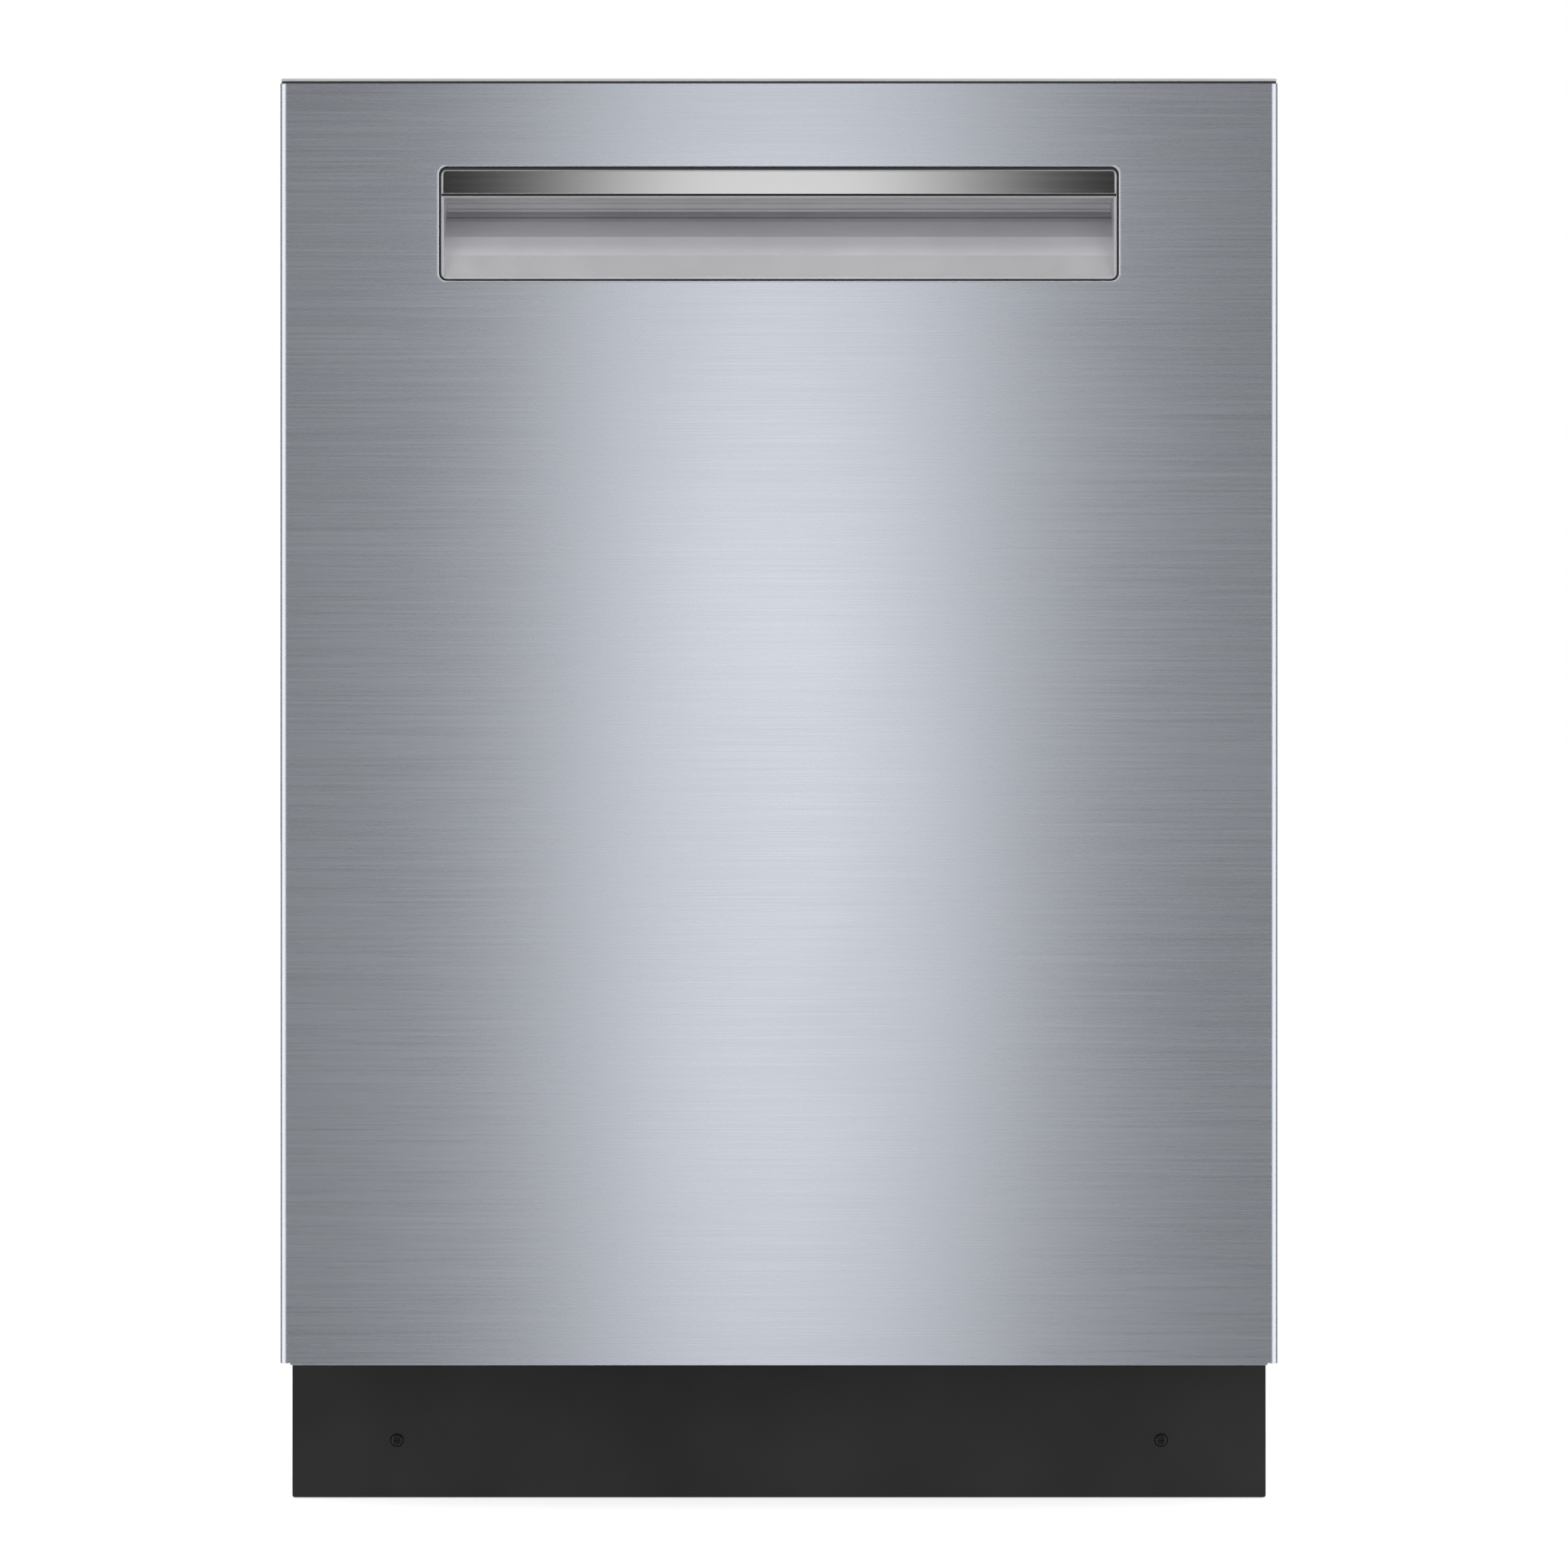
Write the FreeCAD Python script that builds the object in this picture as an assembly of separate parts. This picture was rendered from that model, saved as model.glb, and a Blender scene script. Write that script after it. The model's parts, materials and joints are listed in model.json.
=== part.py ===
import FreeCAD, Part
import math
import os

# Built-in dishwasher, 24 inch class, door shut.
# Frame: origin on the floor under the middle of the cabinet, +X to the right seen from the front,
# +Y to the back, +Z up. All sizes are in millimetres.

# Overall size
WIDTH = 598.0
DEPTH = 603.0
HEIGHT = 860.0
HALF = WIDTH / 2
FRONT = -DEPTH / 2
BACK = DEPTH / 2

# Door
SHEET = 0.8
PANEL_BOTTOM = 89.1
PANEL_TOP = 857.3
PANEL_BEND = 4.2
PANEL_RETURN = 22.0
DOOR_DEPTH = 55.0
LINER_FACE = FRONT + DOOR_DEPTH
LINER_HALF = 286.0
LINER_BOTTOM = 135.0
LINER_TOP = 842.0
HINGE_Y = FRONT + 25.0
HINGE_Z = 120.0
PIN_RADIUS = 5.0
FIT = 0.06

# Handle pocket and grip bar
POCKET_HALF = 203.5
POCKET_BOTTOM = 739.0
POCKET_TOP = 807.1
POCKET_CORNER = 4.5
POCKET_ROLL = 1.3
POCKET_GAP = 0.6
POCKET_DEPTH = 40.0
RECESS_TOP = 788.9
SCOOP = [(1.0, 0.0), (7.0, 13.0), (15.0, 25.0), (26.0, 35.0)]
GRIP_HALF = 202.2
GRIP_BOTTOM = 791.0
GRIP_TOP = 805.3
GRIP_DEPTH = 11.0

# Control fascia
FASCIA_HALF = 298.4
FASCIA_UNDERSIDE = 858.3
FASCIA_FRONT = FRONT + 0.5
BUTTON_Y = -265.0
BUTTON_LENGTH = 18.0
BUTTON_WIDTH = 9.0
BUTTON_GAP = 0.3
BUTTON_X = {"power_button": -210.0, "program_button": -150.0, "options_button": -90.0,
            "start_button": 210.0}

# Detergent dispenser
DISPENSER_BOTTOM = 330.0
DISPENSER_TOP = 445.0
DISPENSER_HALF = 75.0
DISPENSER_FACE = LINER_FACE + 3.5
CUP_LEFT = -62.0
CUP_RIGHT = -2.0
CUP_BOTTOM = 345.0
CUP_TOP = 405.0
CUP_DEPTH = 21.0
CAP_X = 35.0
CAP_Z = 425.0
CAP_RADIUS = 13.0
CAP_HINGE_Z = 411.3
CAP_KNUCKLE = 1.5
CAP_PIN = 0.75
GUIDE_BELOW = 4.3
GUIDE_ABOVE = 2.3

# Latch
LATCH_HALF = 28.0
LATCH_BOTTOM = 843.2
LATCH_WALL = 1.5
PAWL_Y = -266.0
PAWL_Z = 848.0
PAWL_PIN = 1.5
STRIKE_Z = (852.4, 854.6)

# Tub
TUB_HALF = 268.0
TUB_SHEET = 1.0
TUB_FRONT = -243.0
TUB_BACK = 283.0
TUB_FLOOR = 150.0
TUB_CEILING = 838.0
FLANGE_HALF = 288.5
FLANGE_TOP = 856.0
SEAL_DEPTH = 8.0
SEAL_WIDTH = 11.0
SUMP_X = 55.0
SUMP_Y = 50.0
SUMP_HALF = 95.0
SUMP_RADIUS = 88.0
FILTER_X = 85.0
FILTER_Y = 75.0
FILTER_RADIUS = 36.0
FILTER_BOTTOM = 88.0
BLANKET_SIDE = 14.0
BLANKET_TOP = 12.0
BLANKET_BACK = 13.0

# Base
BASE_HALF = 290.0
BASE_WALL = 4.0
BASE_FRONT = -224.0
BASE_BACK = 285.5
BASE_BOTTOM = 22.0
TOE_KICK_HALF = 298.0
TOE_KICK_FRONT = FRONT + 75.0
TOE_KICK_TOP = 108.0
TOE_KICK_BOTTOM = 0.5
TOE_SCREW_X = 233.9
TOE_SCREW_Z = 35.6
FOOT_X = 255.0
FOOT_Y = {"front": -190.0, "rear": 250.0}
BRACKET_SHEET = 3.0
SPRING_X = 293.7
SPRING_RADIUS = 3.6
SPRING_START = (HINGE_Y + 23.5, HINGE_Z + 34.0)
SPRING_END = (-13.5, 141.0)
PUMP_Y = -20.0
PUMP_Z = 75.0
DRAIN_PUMP_Y = 120.0
GLAND_X = 150.0
GLAND_Z = 70.0
GLAND_BORE = 11.0
INLET_X = -228.0
INLET_Z = 85.0
INLET_RADIUS = 13.2
DRAIN_X = 238.0
DRAIN_Z = 76.0
DRAIN_RADIUS = 10.0

# Racks
WIRE = 1.75
RIM_WIRE = 2.5
BEND = 14.0
RACK_FLOOR_HALF = 222.0
RACK_TOP_HALF = 236.0
LOWER_FLOOR = 182.0
LOWER_RIM = 300.4
LOWER_FRONT = (-186.0, -225.0)
LOWER_BACK = (232.0, 244.0)
UPPER_FLOOR = 482.0
UPPER_RIM = 590.6
UPPER_FRONT = (-215.0, -232.0)
UPPER_BACK = (236.0, 244.0)
THIRD_FLOOR = 757.0
THIRD_RIM = 790.6
THIRD_FRONT = (-226.0, -230.0)
THIRD_BACK = (238.0, 242.0)
WHEEL_RADIUS = 17.0
WHEEL_WIDTH = 8.0
WHEEL_X = 254.0
WHEEL_Y = {"front": -128.0, "middle": 30.0, "rear": 188.0}
RAIL_TOP = 158.0
LEDGE_INNER = 244.0
RAIL_REAR = 246.0
UPPER_RAIL_Z = 600.0
THIRD_RAIL_Z = 776.0
RAIL_WEB = 266.6
MEMBER_REAR = 244.0
ARM_START = RACK_TOP_HALF + 2.7
ARM_Y = (-150.0, 0.0, 150.0)
WHEEL_Z = RAIL_TOP + 0.3 + WHEEL_RADIUS
TINE_ROW_Z = 190.2
TINE_LENGTH = 72.0
TINE_RADIUS = 1.6
LOWER_TINE_X = (-160.0, -80.0)
UPPER_TINE_X = (-80.0, 80.0)
ROW_ENDS = (-165.0, 212.0)
ROW_PINS = (-156.0, 204.0, 14)
FOLD_X = {"middle": 0.0, "right": 80.0}
FOLD_ROD = 2.0
BELT_Z = 242.0
SPRAY_Y = 20.0
LOWER_ARM_Z = 160.0
UPPER_ARM_Z = 450.0
LOWER_ARM_REACH = 228.0
UPPER_ARM_REACH = 215.0
SHELF_Z = 545.0
SHELF_PIVOT = 224.0
SHELF_WIDTH = 84.0

X_AXIS = FreeCAD.Vector(1, 0, 0)
Y_AXIS = FreeCAD.Vector(0, 1, 0)
Z_AXIS = FreeCAD.Vector(0, 0, 1)


def box(x0, x1, y0, y1, z0, z1):
    """A box between two x, two y and two z values."""
    return Part.makeBox(x1 - x0, y1 - y0, z1 - z0, FreeCAD.Vector(x0, y0, z0))


def rod(start, end, radius):
    """A round rod from one point to another."""
    start = FreeCAD.Vector(*start)
    run = FreeCAD.Vector(*end) - start
    return Part.makeCylinder(radius, run.Length, start, run)


def tube(start, end, outer, inner):
    """A round tube from one point to another."""
    return rod(start, end, outer).cut(rod(start, end, inner))


def plate(points, x0, x1):
    """A flat plate between two x values, with its outline as (y, z) points."""
    corners = [FreeCAD.Vector(x0, y, z) for y, z in points]
    outline = Part.makePolygon(corners + corners[:1])
    return Part.Face(outline).extrude(FreeCAD.Vector(x1 - x0, 0, 0))


def fuse(first, *others):
    """One solid out of several that meet."""
    return first.fuse(list(others)).removeSplitter()


def left_and_right(shapes):
    """The given shapes and their mirror images in the middle plane."""
    mirrored = [shape.mirror(FreeCAD.Vector(0, 0, 0), X_AXIS) for shape in shapes]
    return list(shapes) + mirrored


def edges_along(shape, axis, keep=None):
    """The straight edges of a shape that run along an axis."""
    found = []
    for edge in shape.Edges:
        if len(edge.Vertexes) == 2 and isinstance(edge.Curve, Part.Line):
            run = edge.Vertexes[1].Point - edge.Vertexes[0].Point
            if abs(run.dot(axis)) > run.Length * 0.999 and (keep is None or keep(edge.BoundBox)):
                found.append(edge)
    return found


def rounded_box(x0, x1, y0, y1, z0, z1, radius, axis):
    """A box with the four edges along one axis rounded."""
    shape = box(x0, x1, y0, y1, z0, z1)
    return shape.makeFillet(radius, edges_along(shape, axis))


def sheet_with_window(x0, x1, z0, z1, window, y0, y1):
    """Four slabs around a rectangular window (x0, x1, z0, z1) in an upright sheet."""
    a, b, low, high = window
    return [box(x0, a, y0, y1, z0, z1), box(b, x1, y0, y1, z0, z1),
            box(a, b, y0, y1, z0, low), box(a, b, y0, y1, high, z1)]


def wire(points, radius, bend, closed=False):
    """Bent wire as straight rods and the short bends between them, each its own solid."""
    corners = [FreeCAD.Vector(*point) for point in points]
    count = len(corners)
    entries = {}
    exits = {}
    solids = []
    bends = range(count) if closed else range(1, count - 1)
    for i in bends:
        corner = corners[i]
        before = (corners[i - 1] - corner).normalize()
        after = (corners[(i + 1) % count] - corner).normalize()
        half_angle = before.getAngle(after) / 2
        reach = bend / math.tan(half_angle)
        entries[i] = corner + before * reach
        exits[i] = corner + after * reach
        inward = (before + after).normalize()
        middle = corner + inward * (bend / math.sin(half_angle) - bend)
        path = Part.Wire(Part.Arc(entries[i], middle, exits[i]).toShape())
        section = Part.Wire(Part.makeCircle(radius, entries[i], before))
        solids.append(path.makePipeShell([section], True, False))
    runs = range(count) if closed else range(count - 1)
    for i in runs:
        j = (i + 1) % count
        start = exits.get(i, corners[i])
        end = entries.get(j, corners[j])
        solids.append(rod(start, end, radius))
    return solids


def spread(first, last, count):
    """Evenly spaced values from first to last."""
    return [first + (last - first) * i / (count - 1) for i in range(count)]


def save(node, solids):
    """Write one node, made of one or more solids, as a STEP file."""
    solids = solids if isinstance(solids, list) else [solids]
    shape = solids[0] if len(solids) == 1 else Part.makeCompound(solids)
    shape.exportStep("parts/" + node + ".step")


# ---------------------------------------------------------------- door


def pocket_opening(inset, depth):
    """A plug with the shape of the opening in the door skin."""
    return rounded_box(-POCKET_HALF - inset, POCKET_HALF + inset, FRONT - 5, FRONT + depth,
                       POCKET_BOTTOM - inset, POCKET_TOP + inset, POCKET_CORNER + inset, Y_AXIS)


def door_skin_solid(inset):
    """A closed block with the outside shape of the door skin, offset inwards."""
    shape = box(-HALF + inset, HALF - inset, FRONT + inset, FRONT + PANEL_RETURN + inset,
                PANEL_BOTTOM + inset, PANEL_TOP - inset)
    front_edges = edges_along(shape, Z_AXIS, lambda b: b.YMax < FRONT + 2)
    shape = shape.makeFillet(PANEL_BEND - inset, front_edges)
    shape = shape.cut(pocket_opening(inset, PANEL_RETURN + 5))
    rim = [edge for edge in shape.Edges
           if edge.BoundBox.YMax < FRONT + inset + 0.01
           and edge.BoundBox.XMin > -POCKET_HALF - 2 and edge.BoundBox.XMax < POCKET_HALF + 2
           and edge.BoundBox.ZMin > POCKET_BOTTOM - 2 and edge.BoundBox.ZMax < POCKET_TOP + 2]
    return shape.makeFillet(POCKET_ROLL - inset, rim)


def door_outer_panel():
    """Folded stainless skin with side returns and a rolled edge round the pocket."""
    skin = door_skin_solid(0).cut(door_skin_solid(SHEET))
    roll_back = FRONT + 6
    ring = 1.5
    skin = skin.cut(box(-POCKET_HALF - ring, POCKET_HALF + ring, roll_back, FRONT + PANEL_RETURN + 5,
                        POCKET_BOTTOM - ring, POCKET_TOP + ring))
    bottom_return = 13
    skin = skin.cut(box(-HALF + 1.5, HALF - 1.5, FRONT + bottom_return, FRONT + PANEL_RETURN + 5,
                        PANEL_BOTTOM - 1, PANEL_BOTTOM + 1.5))
    notch_x = HALF - 4.6
    notch = box(notch_x - 1.5, notch_x, FRONT - 1, FRONT + PANEL_RETURN + 5,
                PANEL_BOTTOM - 1, PANEL_BOTTOM + 1.2)
    side_end = box(notch_x, HALF + 1, FRONT - 1, FRONT + PANEL_RETURN + 5,
                   PANEL_BOTTOM - 1, PANEL_BOTTOM + 1.0)
    for cutter in left_and_right([notch, side_end]):
        skin = skin.cut(cutter)
    return skin


def handle_pocket():
    """Moulded finger recess: sloped back, step, a groove behind the grip bar, and the bar's seat."""
    wall = 2.0
    half = POCKET_HALF - POCKET_GAP
    bottom = POCKET_BOTTOM + POCKET_GAP
    top = POCKET_TOP - POCKET_GAP
    front = FRONT + 0.6
    rear = FRONT + POCKET_DEPTH
    slope_bottom = bottom + wall
    slope_top = 784.0
    groove_top = 799.0
    body = rounded_box(-half, half, front, rear + wall, bottom, top, POCKET_CORNER - POCKET_GAP, Y_AXIS)
    under = plate([(front + 4, bottom - 1), (rear + wall + 1, bottom - 1),
                   (rear + wall + 1, slope_top - 2)], -half - 1, half + 1)
    slope = [(front + depth, slope_bottom + rise) for depth, rise in SCOOP]
    groove = (front + 12.4, rear - 6)
    outline = [(front - 1, slope_bottom)] + slope
    outline += [(rear, slope_top), (rear, RECESS_TOP), (groove[1], RECESS_TOP), (groove[1], groove_top),
                (groove[0], groove_top), (groove[0], RECESS_TOP), (front - 1, RECESS_TOP)]
    recess = plate(outline, -half + wall, half - wall)
    seat = box(-GRIP_HALF, GRIP_HALF, front - 1, FRONT + GRIP_DEPTH, RECESS_TOP + 0.6, top + 1)
    return body.cut(under).cut(recess).cut(seat)


def handle_grip_bar():
    """Solid metal bar across the top of the pocket, with round top corners and softened front edges."""
    bar = box(-GRIP_HALF, GRIP_HALF, FRONT + 0.4, FRONT + GRIP_DEPTH, GRIP_BOTTOM, GRIP_TOP)
    bar = bar.makeFillet(2.6, edges_along(bar, Y_AXIS, lambda b: b.ZMin > GRIP_TOP - 1))
    outline = [edge for edge in bar.Edges
               if edge.BoundBox.YMax < FRONT + 1 and edge.BoundBox.ZMax > GRIP_BOTTOM + 1]
    return bar.makeFillet(1.1, outline)


def control_fascia():
    """Moulded top cover: a thin lid with button holes and a skirt round the door's top."""
    rear = LINER_FACE - 1.5
    lid = rounded_box(-FASCIA_HALF, FASCIA_HALF, FASCIA_FRONT, rear, FASCIA_UNDERSIDE, HEIGHT, 3, Z_AXIS)
    half_length = BUTTON_LENGTH / 2 + BUTTON_GAP
    half_width = BUTTON_WIDTH / 2 + BUTTON_GAP
    for x in BUTTON_X.values():
        lid = lid.cut(box(x - half_length, x + half_length, BUTTON_Y - half_width, BUTTON_Y + half_width,
                          FASCIA_UNDERSIDE - 1, HEIGHT + 1))
    lid = lid.cut(box(90, 170, BUTTON_Y - 7, BUTTON_Y + 7, FASCIA_UNDERSIDE - 1, HEIGHT + 1))
    skirt_bottom = LINER_TOP + 1
    skirt_front = FRONT + PANEL_RETURN + 1.5
    slot_half = 15
    slot_bottom = 850
    side = box(292, 295, skirt_front, rear, skirt_bottom, FASCIA_UNDERSIDE)
    front_wall = box(30, 292, skirt_front, skirt_front + 2, skirt_bottom, FASCIA_UNDERSIDE)
    rear_wall = box(slot_half, 292, rear - 2, rear, skirt_bottom, FASCIA_UNDERSIDE)
    sill = box(-slot_half, slot_half, rear - 2, rear, skirt_bottom, slot_bottom)
    return [lid, sill] + left_and_right([side, front_wall, rear_wall])


def control_boards():
    """Two circuit boards with a switch under each button and the display module."""
    board_bottom = 844.0
    board_top = board_bottom + 1.6
    front = FRONT + PANEL_RETURN + 5
    rear = LINER_FACE - 5
    solids = [box(-270, -36, front, rear, board_bottom, board_top),
              box(36, 270, front, rear, board_bottom, board_top)]
    for x in BUTTON_X.values():
        solids.append(box(x - 4, x + 4, BUTTON_Y - 4, BUTTON_Y + 4, board_top, board_top + 2))
    solids.append(box(95, 165, BUTTON_Y - 6, BUTTON_Y + 6, board_top, board_top + 8))
    return solids


def display_window():
    """Dark window in the fascia, over the display module."""
    return box(90.2, 169.8, BUTTON_Y - 6.8, BUTTON_Y + 6.8, FASCIA_UNDERSIDE - 2, HEIGHT - 0.2)


def button(x):
    """Push button with a stem that reaches down to its switch."""
    cap = rounded_box(x - BUTTON_LENGTH / 2, x + BUTTON_LENGTH / 2, BUTTON_Y - BUTTON_WIDTH / 2,
                      BUTTON_Y + BUTTON_WIDTH / 2, HEIGHT - 4, HEIGHT - 0.1, 2, Z_AXIS)
    stem = box(x - 3, x + 3, BUTTON_Y - 3, BUTTON_Y + 3, 848.9, HEIGHT - 4)
    return fuse(cap, stem)


def door_inner_liner():
    """Stainless inner wall of the door: a face with a window for the dispenser and four flanges."""
    flange_front = FRONT + PANEL_RETURN + 0.5
    half = LINER_HALF
    t = SHEET
    face_back = LINER_FACE - t
    window = (-71, 71, DISPENSER_BOTTOM + 4, DISPENSER_TOP - 4)
    solids = sheet_with_window(-half, half, LINER_BOTTOM, LINER_TOP, window, face_back, LINER_FACE)
    solids += left_and_right([box(half - t, half, flange_front, face_back, LINER_BOTTOM, LINER_TOP)])
    solids.append(box(-half + t, half - t, flange_front, face_back, LINER_BOTTOM, LINER_BOTTOM + t))
    solids.append(box(-half + t, half - t, flange_front, face_back, LINER_TOP - t, LINER_TOP))
    return solids


def door_insulation():
    """Sound-deadening pad behind the outer skin."""
    return box(-268, 268, FRONT + SHEET + 0.7, FRONT + 31, LINER_BOTTOM + 5, POCKET_BOTTOM - 5)


def detergent_dispenser():
    """Dispenser body with the powder cup, the lid's two guides and the rinse-aid filler neck."""
    cup_back = DISPENSER_FACE - CUP_DEPTH
    rear = cup_back - 2
    face_back = DISPENSER_FACE - 3.3
    cup = (CUP_LEFT, CUP_RIGHT, CUP_BOTTOM, CUP_TOP)
    solids = sheet_with_window(-DISPENSER_HALF, DISPENSER_HALF, DISPENSER_BOTTOM, DISPENSER_TOP,
                               cup, face_back, DISPENSER_FACE)
    solids += sheet_with_window(CUP_LEFT - 3, CUP_RIGHT + 3, CUP_BOTTOM - 3, CUP_TOP + 3, cup,
                                cup_back, face_back)
    solids.append(box(CUP_LEFT - 3, CUP_RIGHT + 3, rear, cup_back, CUP_BOTTOM - 3, CUP_TOP + 3))
    solids.append(box(6, 66, rear, face_back, CUP_BOTTOM - 3, DISPENSER_TOP - 8))
    guide_front = DISPENSER_FACE + 3.6
    for z in (CUP_BOTTOM - GUIDE_BELOW, CUP_TOP + GUIDE_ABOVE):
        solids.append(box(-70, 66, DISPENSER_FACE, guide_front, z, z + 2))
    pivot_y = DISPENSER_FACE + 0.4 + CAP_KNUCKLE
    ears = [box(x, x + 2, DISPENSER_FACE, pivot_y + CAP_KNUCKLE, CAP_HINGE_Z - CAP_KNUCKLE,
                CAP_HINGE_Z + CAP_KNUCKLE) for x in (CAP_X - 8.3, CAP_X + 6.3)]
    pin = rod((CAP_X - 8, pivot_y, CAP_HINGE_Z), (CAP_X + 8, pivot_y, CAP_HINGE_Z), CAP_PIN)
    solids.append(fuse(pin, *ears))
    return solids


def dispenser_lid():
    """Flat lid that slides sideways off the powder cup, with a finger ridge."""
    lid = box(CUP_LEFT - 2, CUP_RIGHT + 2, DISPENSER_FACE + 0.4, DISPENSER_FACE + 2.9,
              CUP_BOTTOM - 2, CUP_TOP + 2)
    ridge = box(CUP_LEFT + 4, CUP_LEFT + 8, DISPENSER_FACE + 2.9, DISPENSER_FACE + 4.4,
                CUP_BOTTOM + 10, CUP_TOP - 10)
    return fuse(lid, ridge)


def rinse_aid_cap():
    """Round flip cap with a hinge knuckle below and a finger tab above."""
    front = DISPENSER_FACE + 0.4
    thick = 2 * CAP_KNUCKLE
    pivot_y = front + CAP_KNUCKLE
    disc = rod((CAP_X, front, CAP_Z), (CAP_X, front + thick, CAP_Z), CAP_RADIUS)
    tab = box(CAP_X - 5, CAP_X + 5, front, front + thick, CAP_Z + 10, CAP_Z + 17)
    knuckle = rod((CAP_X - 6, pivot_y, CAP_HINGE_Z), (CAP_X + 6, pivot_y, CAP_HINGE_Z), CAP_KNUCKLE)
    bore = rod((CAP_X - 7, pivot_y, CAP_HINGE_Z), (CAP_X + 7, pivot_y, CAP_HINGE_Z), CAP_PIN + FIT)
    return fuse(disc, tab, knuckle).cut(bore)


def latch_housing():
    """Open-backed housing at the middle of the door's top for the latch and its switch."""
    front = FRONT + PANEL_RETURN + 2
    rear = LINER_FACE - 4
    floor_top = LATCH_BOTTOM + LATCH_WALL
    top = FASCIA_UNDERSIDE - 0.3
    half = LATCH_HALF
    floor = box(-half, half, front, rear, LATCH_BOTTOM, floor_top)
    front_wall = box(-half, half, front, front + 2, floor_top, top)
    side = box(half - 2, half, front + 2, rear, floor_top, top)
    switch = box(10, 22, front + 4, front + 12, floor_top, LATCH_BOTTOM + 9)
    pivot_rod = rod((2.1 - half, PAWL_Y, PAWL_Z), (half - 2.1, PAWL_Y, PAWL_Z), PAWL_PIN)
    return [floor, front_wall, switch.cut(pivot_rod), pivot_rod] + left_and_right([side])


def latch_pawl():
    """Sprung pawl whose nose bears under the strike."""
    boss = rod((-7, PAWL_Y, PAWL_Z), (7, PAWL_Y, PAWL_Z), 2.6)
    arm = box(-7, 7, PAWL_Y, PAWL_Y + 10, PAWL_Z, PAWL_Z + 2)
    nose = box(-7, 7, PAWL_Y + 7, PAWL_Y + 10, PAWL_Z + 2, STRIKE_Z[0] - 1)
    return fuse(boss, arm, nose).cut(rod((-8, PAWL_Y, PAWL_Z), (8, PAWL_Y, PAWL_Z), PAWL_PIN + FIT))


def hinge_arms():
    """Steel arm on each side of the liner, with the pivot hole and a spring lug."""
    x0 = LINER_HALF + 0.2
    x1 = x0 + 3
    disc = rod((x0, HINGE_Y, HINGE_Z), (x1, HINGE_Y, HINGE_Z), 9)
    strap = box(x0, x1, HINGE_Y - 2, HINGE_Y + 12, HINGE_Z, 330)
    lug = box(x0, x1, HINGE_Y + 12, HINGE_Y + 24, HINGE_Z + 28, HINGE_Z + 42)
    arm = fuse(disc, strap, lug)
    arm = arm.cut(rod((x0 - 1, HINGE_Y, HINGE_Z), (x1 + 1, HINGE_Y, HINGE_Z), PIN_RADIUS + FIT))
    hook = rod((x1, HINGE_Y + 20, HINGE_Z + 35), (x1 + 5, HINGE_Y + 20, HINGE_Z + 35), 2.5)
    return left_and_right([arm, hook])


def door_bottom_seal():
    """Rubber lip along the liner's bottom edge."""
    return box(-266, 266, LINER_FACE, LINER_FACE + 2.9, LINER_BOTTOM + 2, LINER_BOTTOM + 13)


# ---------------------------------------------------------------- cabinet


def tub():
    """Stainless tub: walls, floor with the sump opening, seal channel and front flange."""
    t = TUB_SHEET
    wall = TUB_HALF
    seal_floor = TUB_FRONT - t + SEAL_DEPTH
    seal_outer = wall + t + SEAL_WIDTH
    seal_top = TUB_CEILING + t + SEAL_WIDTH
    flange_front = TUB_FRONT - t
    sides = [box(wall, wall + t, flange_front, TUB_BACK, TUB_FLOOR - t, TUB_CEILING),
             box(wall + t, seal_outer, seal_floor, seal_floor + t, TUB_FLOOR, seal_top),
             box(seal_outer, seal_outer + t, flange_front, seal_floor + t, TUB_FLOOR, seal_top),
             box(seal_outer + t, FLANGE_HALF, flange_front, TUB_FRONT, TUB_FLOOR, FLANGE_TOP)]
    ceiling = box(-wall - t, wall + t, flange_front, TUB_BACK, TUB_CEILING, TUB_CEILING + t)
    channel = box(-wall - t, wall + t, seal_floor, seal_floor + t, TUB_CEILING + t, seal_top)
    channel_top = box(-seal_outer, seal_outer, flange_front, seal_floor + t, seal_top, seal_top + t)
    top_flange = box(-seal_outer, seal_outer, flange_front, TUB_FRONT, seal_top + t, FLANGE_TOP)
    back = box(-wall - t, wall + t, TUB_BACK, TUB_BACK + t, TUB_FLOOR - t, TUB_CEILING + t)
    x0 = SUMP_X - SUMP_HALF
    x1 = SUMP_X + SUMP_HALF
    y0 = SUMP_Y - SUMP_HALF
    y1 = SUMP_Y + SUMP_HALF
    bottom = TUB_FLOOR - t
    floor = [box(-wall, x0, flange_front, TUB_BACK, bottom, TUB_FLOOR),
             box(x1, wall, flange_front, TUB_BACK, bottom, TUB_FLOOR),
             box(x0, x1, flange_front, y0, bottom, TUB_FLOOR),
             box(x0, x1, y1, TUB_BACK, bottom, TUB_FLOOR)]
    lip = box(-wall, wall, TUB_FRONT + t, TUB_FRONT + 2 * t, TUB_FLOOR - 20, bottom)
    return left_and_right(sides) + [ceiling, channel, channel_top, top_flange, back, lip] + floor


def door_gasket():
    """Rubber seal round the sides and top of the tub's mouth."""
    front = LINER_FACE + 0.3
    rear = TUB_FRONT - TUB_SHEET + SEAL_DEPTH
    inner = TUB_HALF + TUB_SHEET + 0.6
    outer = inner + SEAL_WIDTH - 1.2
    low = TUB_CEILING + TUB_SHEET + 0.6
    high = low + SEAL_WIDTH - 1.2
    side = box(inner, outer, front, rear, TUB_FLOOR, low)
    return left_and_right([side]) + [box(-outer, outer, front, rear, low, high)]


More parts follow.
